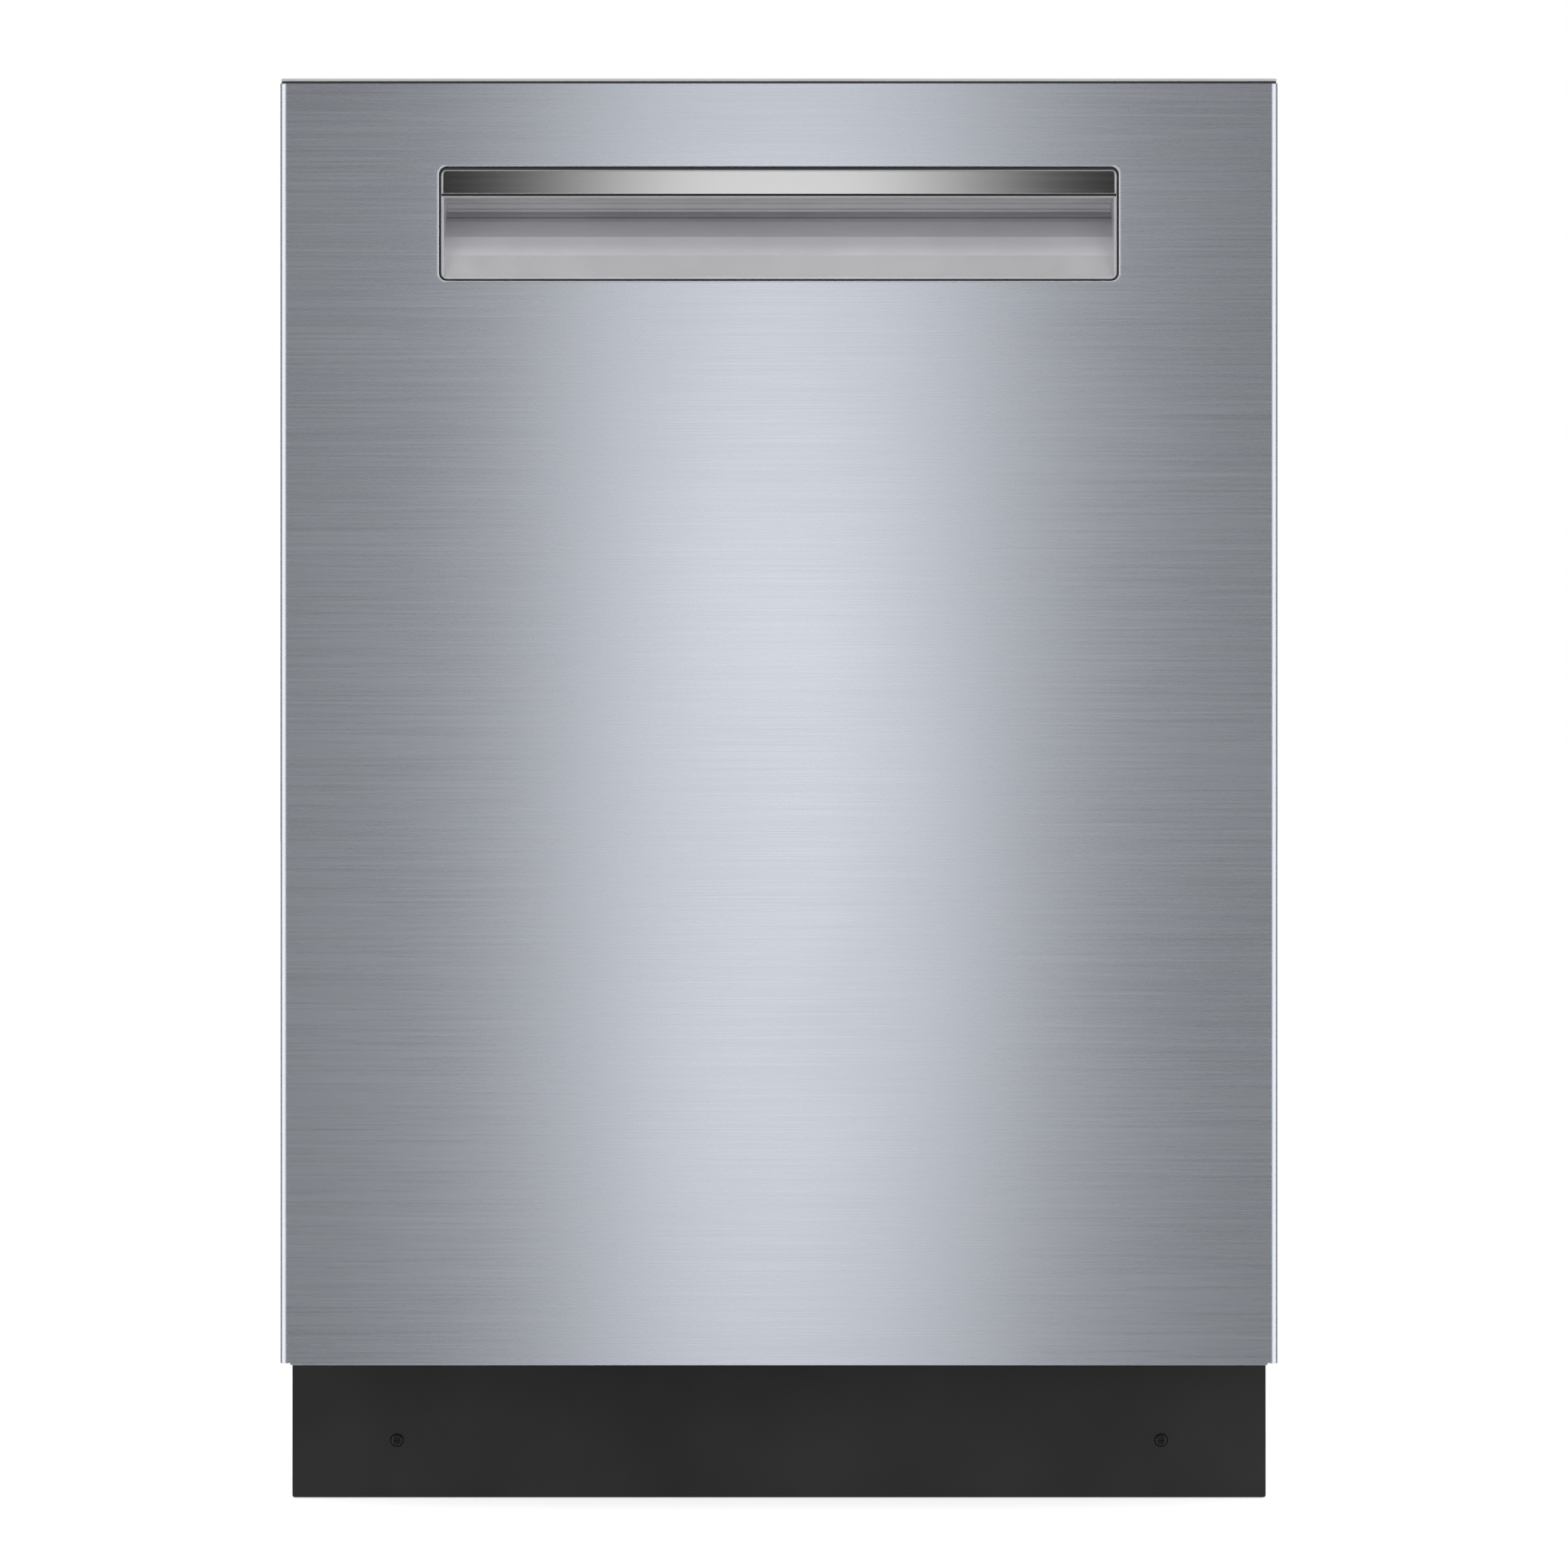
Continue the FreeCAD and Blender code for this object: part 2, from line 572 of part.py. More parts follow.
def insulation_blanket():
    """Felt blanket round the tub's sides, top and back."""
    inner = TUB_HALF + TUB_SHEET + 0.5
    outer = inner + BLANKET_SIDE
    front = TUB_FRONT + 12
    back_inner = TUB_BACK + TUB_SHEET + 0.5
    back_outer = back_inner + BLANKET_BACK
    top_inner = TUB_CEILING + TUB_SHEET + 0.5
    side = box(inner, outer, front, back_outer, TUB_FLOOR + 5, top_inner)
    top = box(-outer, outer, front, back_outer, top_inner, top_inner + BLANKET_TOP)
    back = box(-inner, inner, back_inner, back_outer, TUB_FLOOR + 5, top_inner)
    return left_and_right([side]) + [top, back]


def base_frame():
    """Moulded base: side walls, ledges under the tub, beams, floor, foot sockets, rear wall."""
    t = BASE_WALL
    wall_inner = BASE_HALF - t
    top = TUB_FLOOR - TUB_SHEET
    side = box(wall_inner, BASE_HALF, BASE_FRONT, BASE_BACK, BASE_BOTTOM, top - 4)
    ledge = box(TUB_HALF - 10, BASE_HALF, BASE_FRONT, BASE_BACK, top - 4, top)
    front_beam = box(-wall_inner, wall_inner, BASE_FRONT + 2, BASE_FRONT + 8, 112, 128)
    floor = box(-225, 225, BASE_FRONT + 2, BASE_BACK - t, BASE_BOTTOM, BASE_BOTTOM + t)
    window = (GLAND_X - 17, GLAND_X + 17, GLAND_Z - 17, GLAND_Z + 17)
    rear = sheet_with_window(-205, 205, BASE_BOTTOM, top, window, BASE_BACK - t, BASE_BACK)
    right = [side, ledge]
    bore = PIN_RADIUS + 0.35
    for y in FOOT_Y.values():
        outer = 14
        low = BASE_BOTTOM - 6
        high = 62
        right += [box(FOOT_X - outer, FOOT_X - bore, y - outer, y + outer, low, high),
                  box(FOOT_X + bore, FOOT_X + outer, y - outer, y + outer, low, high),
                  box(FOOT_X - bore, FOOT_X + bore, y - outer, y - bore, low, high),
                  box(FOOT_X - bore, FOOT_X + bore, y + bore, y + outer, low, high),
                  box(FOOT_X + outer, wall_inner, y - 2, y + 2, BASE_BOTTOM, high),
                  box(225, FOOT_X - outer, y - 10, y + 10, BASE_BOTTOM, BASE_BOTTOM + t)]
    return left_and_right(right) + [front_beam, floor] + rear


def foot(x, y):
    """Levelling foot: threaded stem in its socket and a hexagon over a round pad."""
    pad = rod((x, y, 0), (x, y, 7), 17)
    hexagon = Part.makePolygon([FreeCAD.Vector(x + 9 * math.cos(math.radians(60 * i)),
                                               y + 9 * math.sin(math.radians(60 * i)), 7)
                                for i in range(7)])
    nut = Part.Face(hexagon).extrude(FreeCAD.Vector(0, 0, 6))
    stem = rod((x, y, 13), (x, y, 92), PIN_RADIUS)
    return fuse(pad, nut, stem)


def toe_kick():
    """Black steel kick plate with side returns and two dished screw holes."""
    front = TOE_KICK_FRONT
    t = 1.2
    face = box(-TOE_KICK_HALF, TOE_KICK_HALF, front, front + t, TOE_KICK_BOTTOM, TOE_KICK_TOP)
    corners = edges_along(face, Y_AXIS, lambda b: b.ZMax < TOE_KICK_BOTTOM + 1)
    face = face.makeFillet(1.5, corners)
    side = box(TOE_KICK_HALF - t, TOE_KICK_HALF, front + t, front + 20, TOE_KICK_BOTTOM + 2, TOE_KICK_TOP)
    for x in (-TOE_SCREW_X, TOE_SCREW_X):
        face = face.cut(rod((x, front - 1, TOE_SCREW_Z), (x, front + 5, TOE_SCREW_Z), 4.1))
    dish = tube((TOE_SCREW_X, front + t, TOE_SCREW_Z), (TOE_SCREW_X, front + 2.4, TOE_SCREW_Z), 7, 2.2)
    return [face] + left_and_right([side, dish])


def toe_kick_screws():
    """Pan-head screws with a cross recess, seated in the kick plate's dishes."""
    seat = TOE_KICK_FRONT + 1.2
    x = TOE_SCREW_X
    z = TOE_SCREW_Z
    head = rod((x, seat - 2.2, z), (x, seat, z), 3.6)
    head = head.makeFillet(1.2, [edge for edge in head.Edges if edge.BoundBox.YMax < seat - 2])
    head = head.cut(box(x - 2, x + 2, seat - 3, seat - 1.2, z - 0.4, z + 0.4))
    head = head.cut(box(x - 0.4, x + 0.4, seat - 3, seat - 1.2, z - 2, z + 2))
    shank = rod((x, seat, z), (x, seat + 12, z), 2.1)
    return left_and_right([fuse(head, shank)])


def hinge_brackets():
    """Steel bracket and pivot pin on each side of the base."""
    x0 = BASE_HALF
    x1 = x0 + BRACKET_SHEET
    reach = 8.0
    leg_front = BASE_FRONT + 1
    disc = rod((x0, HINGE_Y, HINGE_Z), (x1, HINGE_Y, HINGE_Z), reach)
    bar = box(x0, x1, HINGE_Y, leg_front, HINGE_Z - reach, HINGE_Z + reach)
    leg = box(x0, x1, leg_front, -150, 60, HINGE_Z + reach)
    pin = rod((x0 - 5.5, HINGE_Y, HINGE_Z), (x0, HINGE_Y, HINGE_Z), PIN_RADIUS)
    return left_and_right([fuse(disc, bar, pin), leg])


def door_springs():
    """Envelope of the coil spring that balances the door, one each side."""
    spring = rod((SPRING_X, *SPRING_START), (SPRING_X, *SPRING_END), SPRING_RADIUS)
    return left_and_right([spring])


def spring_anchors():
    """Hook plate on each side of the base that holds the rear end of a door spring."""
    x0 = BASE_HALF
    tab = box(x0, x0 + 2.5, -12, 12, 110, 149)
    peg = rod((x0 + 2.5, 0, SPRING_END[1]), (x0 + 7.5, 0, SPRING_END[1]), 2.5)
    return left_and_right([tab, peg])


def sump_housing():
    """Round sump well under the tub's floor, with a square flange in the floor opening."""
    x0 = SUMP_X - SUMP_HALF
    x1 = SUMP_X + SUMP_HALF
    y0 = SUMP_Y - SUMP_HALF
    y1 = SUMP_Y + SUMP_HALF
    bottom = 66
    flange = box(x0, x1, y0, y1, TUB_FLOOR - 4, TUB_FLOOR)
    well = rod((SUMP_X, SUMP_Y, bottom), (SUMP_X, SUMP_Y, TUB_FLOOR - 4), SUMP_RADIUS + 4)
    hollow = rod((SUMP_X, SUMP_Y, bottom + 4), (SUMP_X, SUMP_Y, TUB_FLOOR + 1), SUMP_RADIUS)
    post = rod((0, SPRAY_Y, bottom + 4), (0, SPRAY_Y, TUB_FLOOR), 11)
    return fuse(fuse(flange, well).cut(hollow), post)


def filter_plate():
    """Flat stainless filter over the sump, with holes for the spray post and the filter."""
    plate_disc = rod((SUMP_X, SUMP_Y, TUB_FLOOR + 0.1), (SUMP_X, SUMP_Y, TUB_FLOOR + 1.3), SUMP_RADIUS + 3)
    post_hole = rod((0, SPRAY_Y, TUB_FLOOR - 1), (0, SPRAY_Y, TUB_FLOOR + 5), 14)
    filter_hole = rod((FILTER_X, FILTER_Y, TUB_FLOOR - 1), (FILTER_X, FILTER_Y, TUB_FLOOR + 5),
                      FILTER_RADIUS + 1)
    return plate_disc.cut(post_hole).cut(filter_hole)


def filter_cylinder():
    """Removable cylinder filter with a grip across its top."""
    floor = FILTER_BOTTOM + 2
    reach = FILTER_RADIUS - 1
    body = tube((FILTER_X, FILTER_Y, floor), (FILTER_X, FILTER_Y, TUB_FLOOR + 2), FILTER_RADIUS,
                FILTER_RADIUS - 2)
    end = rod((FILTER_X, FILTER_Y, FILTER_BOTTOM), (FILTER_X, FILTER_Y, floor), FILTER_RADIUS)
    grip = box(FILTER_X - 26, FILTER_X + 26, FILTER_Y - 3, FILTER_Y + 3, TUB_FLOOR - 4, TUB_FLOOR + 7)
    bridge = box(FILTER_X - reach, FILTER_X + reach, FILTER_Y - 5, FILTER_Y + 5, TUB_FLOOR - 6,
                 TUB_FLOOR - 3)
    return fuse(body, end, fuse(grip, bridge))


def circulation_pump():
    """Horizontal wash pump with its motor and outlet."""
    motor = rod((-190, PUMP_Y, PUMP_Z), (-110, PUMP_Y, PUMP_Z), 36)
    volute = rod((-110, PUMP_Y, PUMP_Z), (-84, PUMP_Y, PUMP_Z), 42)
    neck = rod((-84, PUMP_Y, PUMP_Z), (-70, PUMP_Y, PUMP_Z), 17)
    return fuse(motor, volute, neck)


def drain_pump():
    """Small drain pump beside the sump."""
    motor = rod((185, DRAIN_PUMP_Y, PUMP_Z), (225, DRAIN_PUMP_Y, PUMP_Z), 26)
    head = rod((225, DRAIN_PUMP_Y, PUMP_Z), (250, DRAIN_PUMP_Y, PUMP_Z), 30)
    neck = rod((DRAIN_X, 145, DRAIN_Z), (DRAIN_X, 160, DRAIN_Z), DRAIN_RADIUS)
    return fuse(motor, head, neck)


def internal_hoses():
    """Hoses in the base: pump to sump, inlet valve to sump, drain pump to the rear spigot."""
    wash = rod((-70, PUMP_Y, PUMP_Z), (-20.5, PUMP_Y, PUMP_Z), 15)
    drain = rod((DRAIN_X, 160, DRAIN_Z), (DRAIN_X, BASE_BACK - 4, DRAIN_Z), DRAIN_RADIUS - 1)
    fill = wire([(INLET_X, 242, INLET_Z), (INLET_X, 75, INLET_Z), (-38, 75, INLET_Z)], 7, 30)
    return [wash, drain] + fill


def water_connections():
    """Inlet valve with its threaded spigot, and the drain spigot, at the rear corners."""
    valve = box(INLET_X - 15, INLET_X + 15, 242, BASE_BACK - 6, INLET_Z - 18, INLET_Z + 30)
    collar = rod((INLET_X, BASE_BACK - 6, INLET_Z), (INLET_X, BASE_BACK, INLET_Z), INLET_RADIUS + 3)
    inlet = rod((INLET_X, BASE_BACK, INLET_Z), (INLET_X, BACK, INLET_Z), INLET_RADIUS)
    flange = box(DRAIN_X - 18, DRAIN_X + 18, BASE_BACK - 4, BASE_BACK, DRAIN_Z - 18, DRAIN_Z + 18)
    drain = rod((DRAIN_X, BASE_BACK, DRAIN_Z), (DRAIN_X, BACK, DRAIN_Z), DRAIN_RADIUS)
    return [fuse(valve, collar, inlet), fuse(flange, drain)]


def cable_gland():
    """Flanged gland in the rear wall for the supply cable."""
    flange = box(GLAND_X - 17, GLAND_X + 17, BASE_BACK - 4, BASE_BACK, GLAND_Z - 17, GLAND_Z + 17)
    nose = rod((GLAND_X, BASE_BACK, GLAND_Z), (GLAND_X, BASE_BACK + 8, GLAND_Z), 15)
    bore = rod((GLAND_X, BASE_BACK - 5, GLAND_Z), (GLAND_X, BACK, GLAND_Z), GLAND_BORE)
    return fuse(flange, nose).cut(bore)


def junction_box():
    """Steel wiring box behind the kick plate."""
    return rounded_box(110, 200, -200, -140, 30, 95, 3, Z_AXIS)


def feed_tube():
    """Water duct along the floor, up the back wall and along the ceiling to a small spray head."""
    half = 15.0
    back = TUB_BACK - 0.1
    ceiling = TUB_CEILING - 0.1
    floor_duct = box(-half, half, SPRAY_Y + 16, back - 14, TUB_FLOOR + 1.4, TUB_FLOOR + 8)
    riser = box(-half, half, back - 14, back, TUB_FLOOR + 1.4, ceiling)
    ceiling_duct = box(-half, half, SPRAY_Y, back - 14, ceiling - 9, ceiling)
    head = rod((0, SPRAY_Y, ceiling - 22), (0, SPRAY_Y, ceiling - 9), 20)
    dock_z = UPPER_ARM_Z + 22
    dock = rod((0, back - 32, dock_z), (0, back - 14, dock_z), 9)
    return [floor_duct, riser, ceiling_duct, head, dock]


def spray_arm(z, radius):
    """Twin-blade spray arm with nozzles on top, and a hub that sits on its post."""
    blade = 5.0
    arms = []
    for side in (1, -1):
        outline = [(0, -22), (side * radius * 0.45, -20), (side * radius * 0.9, -15), (side * radius, 0),
                   (side * radius * 0.9, 13), (side * radius * 0.45, 16), (0, 22)]
        corners = [FreeCAD.Vector(x, SPRAY_Y + y, z + 3) for x, y in outline]
        arms.append(Part.Face(Part.makePolygon(corners + corners[:1])).extrude(Z_AXIS * blade))
    hub = rod((0, SPRAY_Y, z), (0, SPRAY_Y, z + 12), 24)
    arm = fuse(hub, *arms)
    for reach in (0.35, 0.6, 0.85):
        for side in (1, -1):
            x = side * reach * radius
            nozzle = rod((x, SPRAY_Y, z + 7), (x, SPRAY_Y, z + 9.2), 4)
            arm = arm.fuse(nozzle).cut(rod((x, SPRAY_Y, z + 8), (x, SPRAY_Y, z + 10), 1.4))
    return arm.cut(rod((0, SPRAY_Y, z - 1), (0, SPRAY_Y, z + 6), 8))


def rack_slide(web, lip, z, height, y0, y1):
    """C-shaped rail on one side: an upright web and two lips, open towards the middle."""
    t = 1.2
    return [box(web, web + t, y0, y1, z - height / 2, z + height / 2),
            box(lip, web, y0, y1, z + height / 2 - t, z + height / 2),
            box(lip, web, y0, y1, z - height / 2, z - height / 2 + t)]


def tub_rails():
    """Wheel ledges for the lower rack and fixed rails for the two upper racks."""
    front = TUB_FRONT + 6
    back = TUB_BACK - 20
    ledge = box(LEDGE_INNER, TUB_HALF, front, back, TUB_FLOOR, RAIL_TOP)
    stop = box(LEDGE_INNER, TUB_HALF, back - 6, back, RAIL_TOP, RAIL_TOP + 12)
    upper = rack_slide(RAIL_WEB, 258, UPPER_RAIL_Z, 32, front, RAIL_REAR)
    third = rack_slide(RAIL_WEB, 252, THIRD_RAIL_Z, 28, front, RAIL_REAR)
    return left_and_right([ledge, stop] + upper + third)


def latch_strike():
    """Flat steel tongue on the tub's top flange that enters the latch."""
    return box(-10, 10, -262, TUB_FRONT - TUB_SHEET, *STRIKE_Z)


def countertop_brackets():
    """Screw plates on the tub's top front edge that fasten the machine under a worktop."""
    x = 230.0
    bracket = box(x - 22, x + 22, TUB_FRONT, -206, FLANGE_TOP - 1.5, FLANGE_TOP)
    stand = box(x - 22, x + 22, TUB_FRONT, TUB_FRONT + 8, 852.2, FLANGE_TOP - 1.5)
    for dx in (-12, 12):
        bracket = bracket.cut(rod((x + dx, -220, 850), (x + dx, -220, 860), 2.6))
    return left_and_right([bracket, stand])


# ---------------------------------------------------------------- racks


def basket(floor, rim, front, back, x_wires, y_wires):
    """Wire basket: wires across, wires front to back on top of them, and a rim."""
    solids = []
    top = rim - RIM_WIRE - 0.5
    over = floor + 2 * WIRE
    bend = min(BEND, (rim - floor) * 0.3)
    for y in spread(front[0] + 16, back[0] - 26, x_wires):
        solids += wire([(-RACK_TOP_HALF, y, top), (-RACK_FLOOR_HALF, y, floor),
                        (RACK_FLOOR_HALF, y, floor), (RACK_TOP_HALF, y, top)], WIRE, bend)
    for x in spread(-200, 200, y_wires):
        solids += wire([(x, front[1], top), (x, front[0], over), (x, back[0], over), (x, back[1], top)],
                       WIRE, bend)
    solids += wire([(RACK_TOP_HALF, front[1], rim), (RACK_TOP_HALF, back[1], rim),
                    (-RACK_TOP_HALF, back[1], rim), (-RACK_TOP_HALF, front[1], rim)],
                   RIM_WIRE, 30, closed=True)
    return solids


def side_wire(z, floor, rim, front, back):
    """Loop of wire round the outside of a basket at one height."""
    share = (z - floor) / (rim - floor)
    out = 2 * WIRE
    x = RACK_FLOOR_HALF + (RACK_TOP_HALF - RACK_FLOOR_HALF) * share + out
    y0 = front[0] + (front[1] - front[0]) * share - out - 0.5
    y1 = back[0] + (back[1] - back[0]) * share + out + 0.5
    return wire([(x, y0, z), (x, y1, z), (-x, y1, z), (-x, y0, z)], WIRE, 30, closed=True)


def tines(x, ys, base, length, radius):
    """A row of upright pins."""
    return [rod((x, y, base), (x, y, base + length), radius) for y in ys]


def lower_basket():
    """Lower basket with two fixed rows of plate tines."""
    solids = basket(LOWER_FLOOR, LOWER_RIM, LOWER_FRONT, LOWER_BACK, 9, 11)
    solids += side_wire(BELT_Z, LOWER_FLOOR, LOWER_RIM, LOWER_FRONT, LOWER_BACK)
    row_z = LOWER_FLOOR + 4 * WIRE
    for x in LOWER_TINE_X:
        solids.append(rod((x, ROW_ENDS[0], row_z), (x, ROW_ENDS[1], row_z), WIRE))
        solids += tines(x, spread(*ROW_PINS), row_z + WIRE, 80, TINE_RADIUS)
    return solids


def lower_rack_clips():
    """Plastic wheel carriers with axle stubs, tine row clips and the front grip."""
    right = []
    for y in WHEEL_Y.values():
        carrier = rounded_box(235.3, 240, y - 16, y + 16, 168, 236, 3, X_AXIS)
        axle = rod((240, y, WHEEL_Z), (259.4, y, WHEEL_Z), 4)
        cap = rod((259.4, y, WHEEL_Z), (260.6, y, WHEEL_Z), 6)
        right.append(fuse(carrier, axle, cap))
    solids = left_and_right(right)
    for x in FOLD_X.values():
        for y in (-170, 24, 218):
            clip = box(x - 6, x + 6, y - 3, y + 3, TINE_ROW_Z - 2.9, TINE_ROW_Z + 6)
            solids.append(clip.cut(rod((x, y - 4, TINE_ROW_Z), (x, y + 4, TINE_ROW_Z), FOLD_ROD + FIT)))
    grip_y = LOWER_FRONT[1]
    solids.append(rounded_box(-60, 60, grip_y - 5, grip_y + 7, LOWER_RIM + RIM_WIRE, LOWER_RIM + 12, 3,
                              Z_AXIS))
    return solids


def wheels(y):
    """The left and right wheel on one axle line of the lower rack."""
    x0 = WHEEL_X - WHEEL_WIDTH / 2
    x1 = WHEEL_X + WHEEL_WIDTH / 2
    wheel = tube((x0, y, WHEEL_Z), (x1, y, WHEEL_Z), WHEEL_RADIUS, 4 + FIT)
    for i in range(5):
        angle = math.radians(72 * i)
        hole_y = y + 10 * math.cos(angle)
        hole_z = WHEEL_Z + 10 * math.sin(angle)
        wheel = wheel.cut(rod((x0 - 1, hole_y, hole_z), (x1 + 1, hole_y, hole_z), 3))
    return left_and_right([wheel])


def tine_row(x):
    """Folding row: a rod that turns in its clips, with pins standing on it."""
    shaft = rod((x, -176, TINE_ROW_Z), (x, 224, TINE_ROW_Z), FOLD_ROD)
    ys = [y + dy for y in (-158, 36) for dy in spread(0, 170, 7)]
    pins = [rod((x, y, TINE_ROW_Z), (x, y, TINE_ROW_Z + TINE_LENGTH), TINE_RADIUS) for y in ys]
    return fuse(shaft, *pins)


def cutlery_basket():
    """Cutlery basket with six open cells."""
    x0, x1, y0, y1, z0, z1 = 168, 214, -150, 60, LOWER_FLOOR + 5.5, 296
    t = 1.6
    solids = [box(x0, x1, y0, y1, z0, z0 + t), box(x0, x0 + t, y0, y1, z0 + t, z1),
              box(x1 - t, x1, y0, y1, z0 + t, z1)]
    for y in spread(y0, y1 - t, 7):
        solids.append(box(x0 + t, x1 - t, y, y + t, z0 + t, z1))
    return solids


def upper_slides():
    """Middle members of the upper rack's telescopic slides."""
    return left_and_right(rack_slide(264, 255.4, UPPER_RAIL_Z, 27, TUB_FRONT + 8, MEMBER_REAR))


def upper_basket():
    """Upper basket with two short tine rows and the inner members of its slides."""
    solids = basket(UPPER_FLOOR, UPPER_RIM, UPPER_FRONT, UPPER_BACK, 9, 11)
    row_z = UPPER_FLOOR + 4 * WIRE
    for x in UPPER_TINE_X:
        solids.append(rod((x, ROW_ENDS[0], row_z), (x, ROW_ENDS[1], row_z), WIRE))
        solids += tines(x, spread(*ROW_PINS), row_z + WIRE, 45, TINE_RADIUS)
    inner = box(251, 262.5, TUB_FRONT + 9, MEMBER_REAR, UPPER_RAIL_Z - 10.5, UPPER_RAIL_Z + 10.5)
    arms = [box(ARM_START, 251, y - 12, y + 12, UPPER_RAIL_Z - 12, UPPER_RAIL_Z + 6) for y in ARM_Y]
    return solids + left_and_right([inner] + arms)


def upper_manifold():
    """Water duct under the upper rack, with the post of its spray arm and its docking end."""
    z = UPPER_ARM_Z + 22
    duct = box(-12, 12, SPRAY_Y - 12, 228, z - 6, z + 7.9)
    nozzle = rod((0, 228, z), (0, TUB_BACK - 34, z), 7)
    post = rod((0, SPRAY_Y, z - 9), (0, SPRAY_Y, z - 6), 11)
    return fuse(duct, nozzle, post)


def cup_shelf(side):
    """Folding cup shelf: a wire frame with cross wires, and its pivot rod in two clips."""
    pivot = side * SHELF_PIVOT
    inner = side * (SHELF_PIVOT - SHELF_WIDTH)
    frame = [rod((pivot, -180, SHELF_Z), (pivot, 180, SHELF_Z), 2),
             rod((inner, -160, SHELF_Z), (inner, 160, SHELF_Z), 2)]
    for y in spread(-160, 160, 9):
        frame.append(rod((pivot, y, SHELF_Z), (inner, y, SHELF_Z), 1.8))
    return fuse(*frame)


def shelf_clips():
    """Clips on the upper basket that carry the cup shelves' pivot rods."""
    clips = []
    for y in (-172, 172):
        clip = box(SHELF_PIVOT - 5, SHELF_PIVOT + 4, y - 3, y + 3, SHELF_Z - 5, SHELF_Z + 5)
        clips.append(clip.cut(rod((SHELF_PIVOT, y - 4, SHELF_Z), (SHELF_PIVOT, y + 4, SHELF_Z), 2 + FIT)))
    return left_and_right(clips)


def third_basket():
    """Shallow cutlery tray with the runners that ride in its rails."""
    solids = basket(THIRD_FLOOR, THIRD_RIM, THIRD_FRONT, THIRD_BACK, 15, 17)
    runner = box(254, 264.5, TUB_FRONT + 8, MEMBER_REAR, THIRD_RAIL_Z - 11.5, THIRD_RAIL_Z + 11.5)
    arms = [box(ARM_START, 254, y - 10, y + 10, THIRD_RAIL_Z - 6, THIRD_RAIL_Z + 8) for y in ARM_Y]
    return solids + left_and_right([runner] + arms)


def main():
    os.makedirs("parts", exist_ok=True)
    save("door_outer_panel", door_outer_panel())
    save("handle_pocket", handle_pocket())
    save("handle_grip_bar", handle_grip_bar())
    save("control_fascia", control_fascia())
    save("control_boards", control_boards())
    save("display_window", display_window())
    for name, x in BUTTON_X.items():
        save(name, button(x))
    save("door_inner_liner", door_inner_liner())
    save("door_insulation", door_insulation())
    save("detergent_dispenser", detergent_dispenser())
    save("dispenser_lid", dispenser_lid())
    save("rinse_aid_cap", rinse_aid_cap())
    save("latch_housing", latch_housing())
    save("latch_pawl", latch_pawl())
    save("hinge_arms", hinge_arms())
    save("door_bottom_seal", door_bottom_seal())
    save("tub", tub())
    save("door_gasket", door_gasket())
    save("insulation_blanket", insulation_blanket())
    save("base_frame", base_frame())
    for x, side in ((-FOOT_X, "left"), (FOOT_X, "right")):
        for place, y in FOOT_Y.items():
            save("foot_" + place + "_" + side, foot(x, y))
    save("toe_kick", toe_kick())
    save("toe_kick_screws", toe_kick_screws())
    save("hinge_brackets", hinge_brackets() + spring_anchors())
    save("door_springs", door_springs())
    save("sump_housing", sump_housing())
    save("filter_plate", filter_plate())
    save("filter_cylinder", filter_cylinder())
    save("circulation_pump", circulation_pump())
    save("drain_pump", drain_pump())
    save("internal_hoses", internal_hoses())
    save("water_connections", water_connections())
    save("cable_gland", cable_gland())
    save("junction_box", junction_box())
    save("feed_tube", feed_tube())
    save("lower_spray_arm", spray_arm(LOWER_ARM_Z, LOWER_ARM_REACH))
    save("tub_rails", tub_rails())
    save("latch_strike", latch_strike())
    save("countertop_brackets", countertop_brackets())
    save("lower_basket", lower_basket())
    save("lower_rack_clips", lower_rack_clips())
    save("cutlery_basket", cutlery_basket())
    for place, y in WHEEL_Y.items():
        save("wheels_" + place, wheels(y))
    for place, x in FOLD_X.items():
        save("tine_row_" + place, tine_row(x))
    save("upper_slides", upper_slides())
    save("upper_basket", upper_basket() + shelf_clips())
    save("upper_manifold", upper_manifold())
    save("upper_spray_arm", spray_arm(UPPER_ARM_Z, UPPER_ARM_REACH))
    save("cup_shelf_left", cup_shelf(-1))
    save("cup_shelf_right", cup_shelf(1))
    save("third_basket", third_basket())


main()
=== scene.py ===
import json
from math import copysign, cos, hypot, pi, radians, sin, sqrt, tan

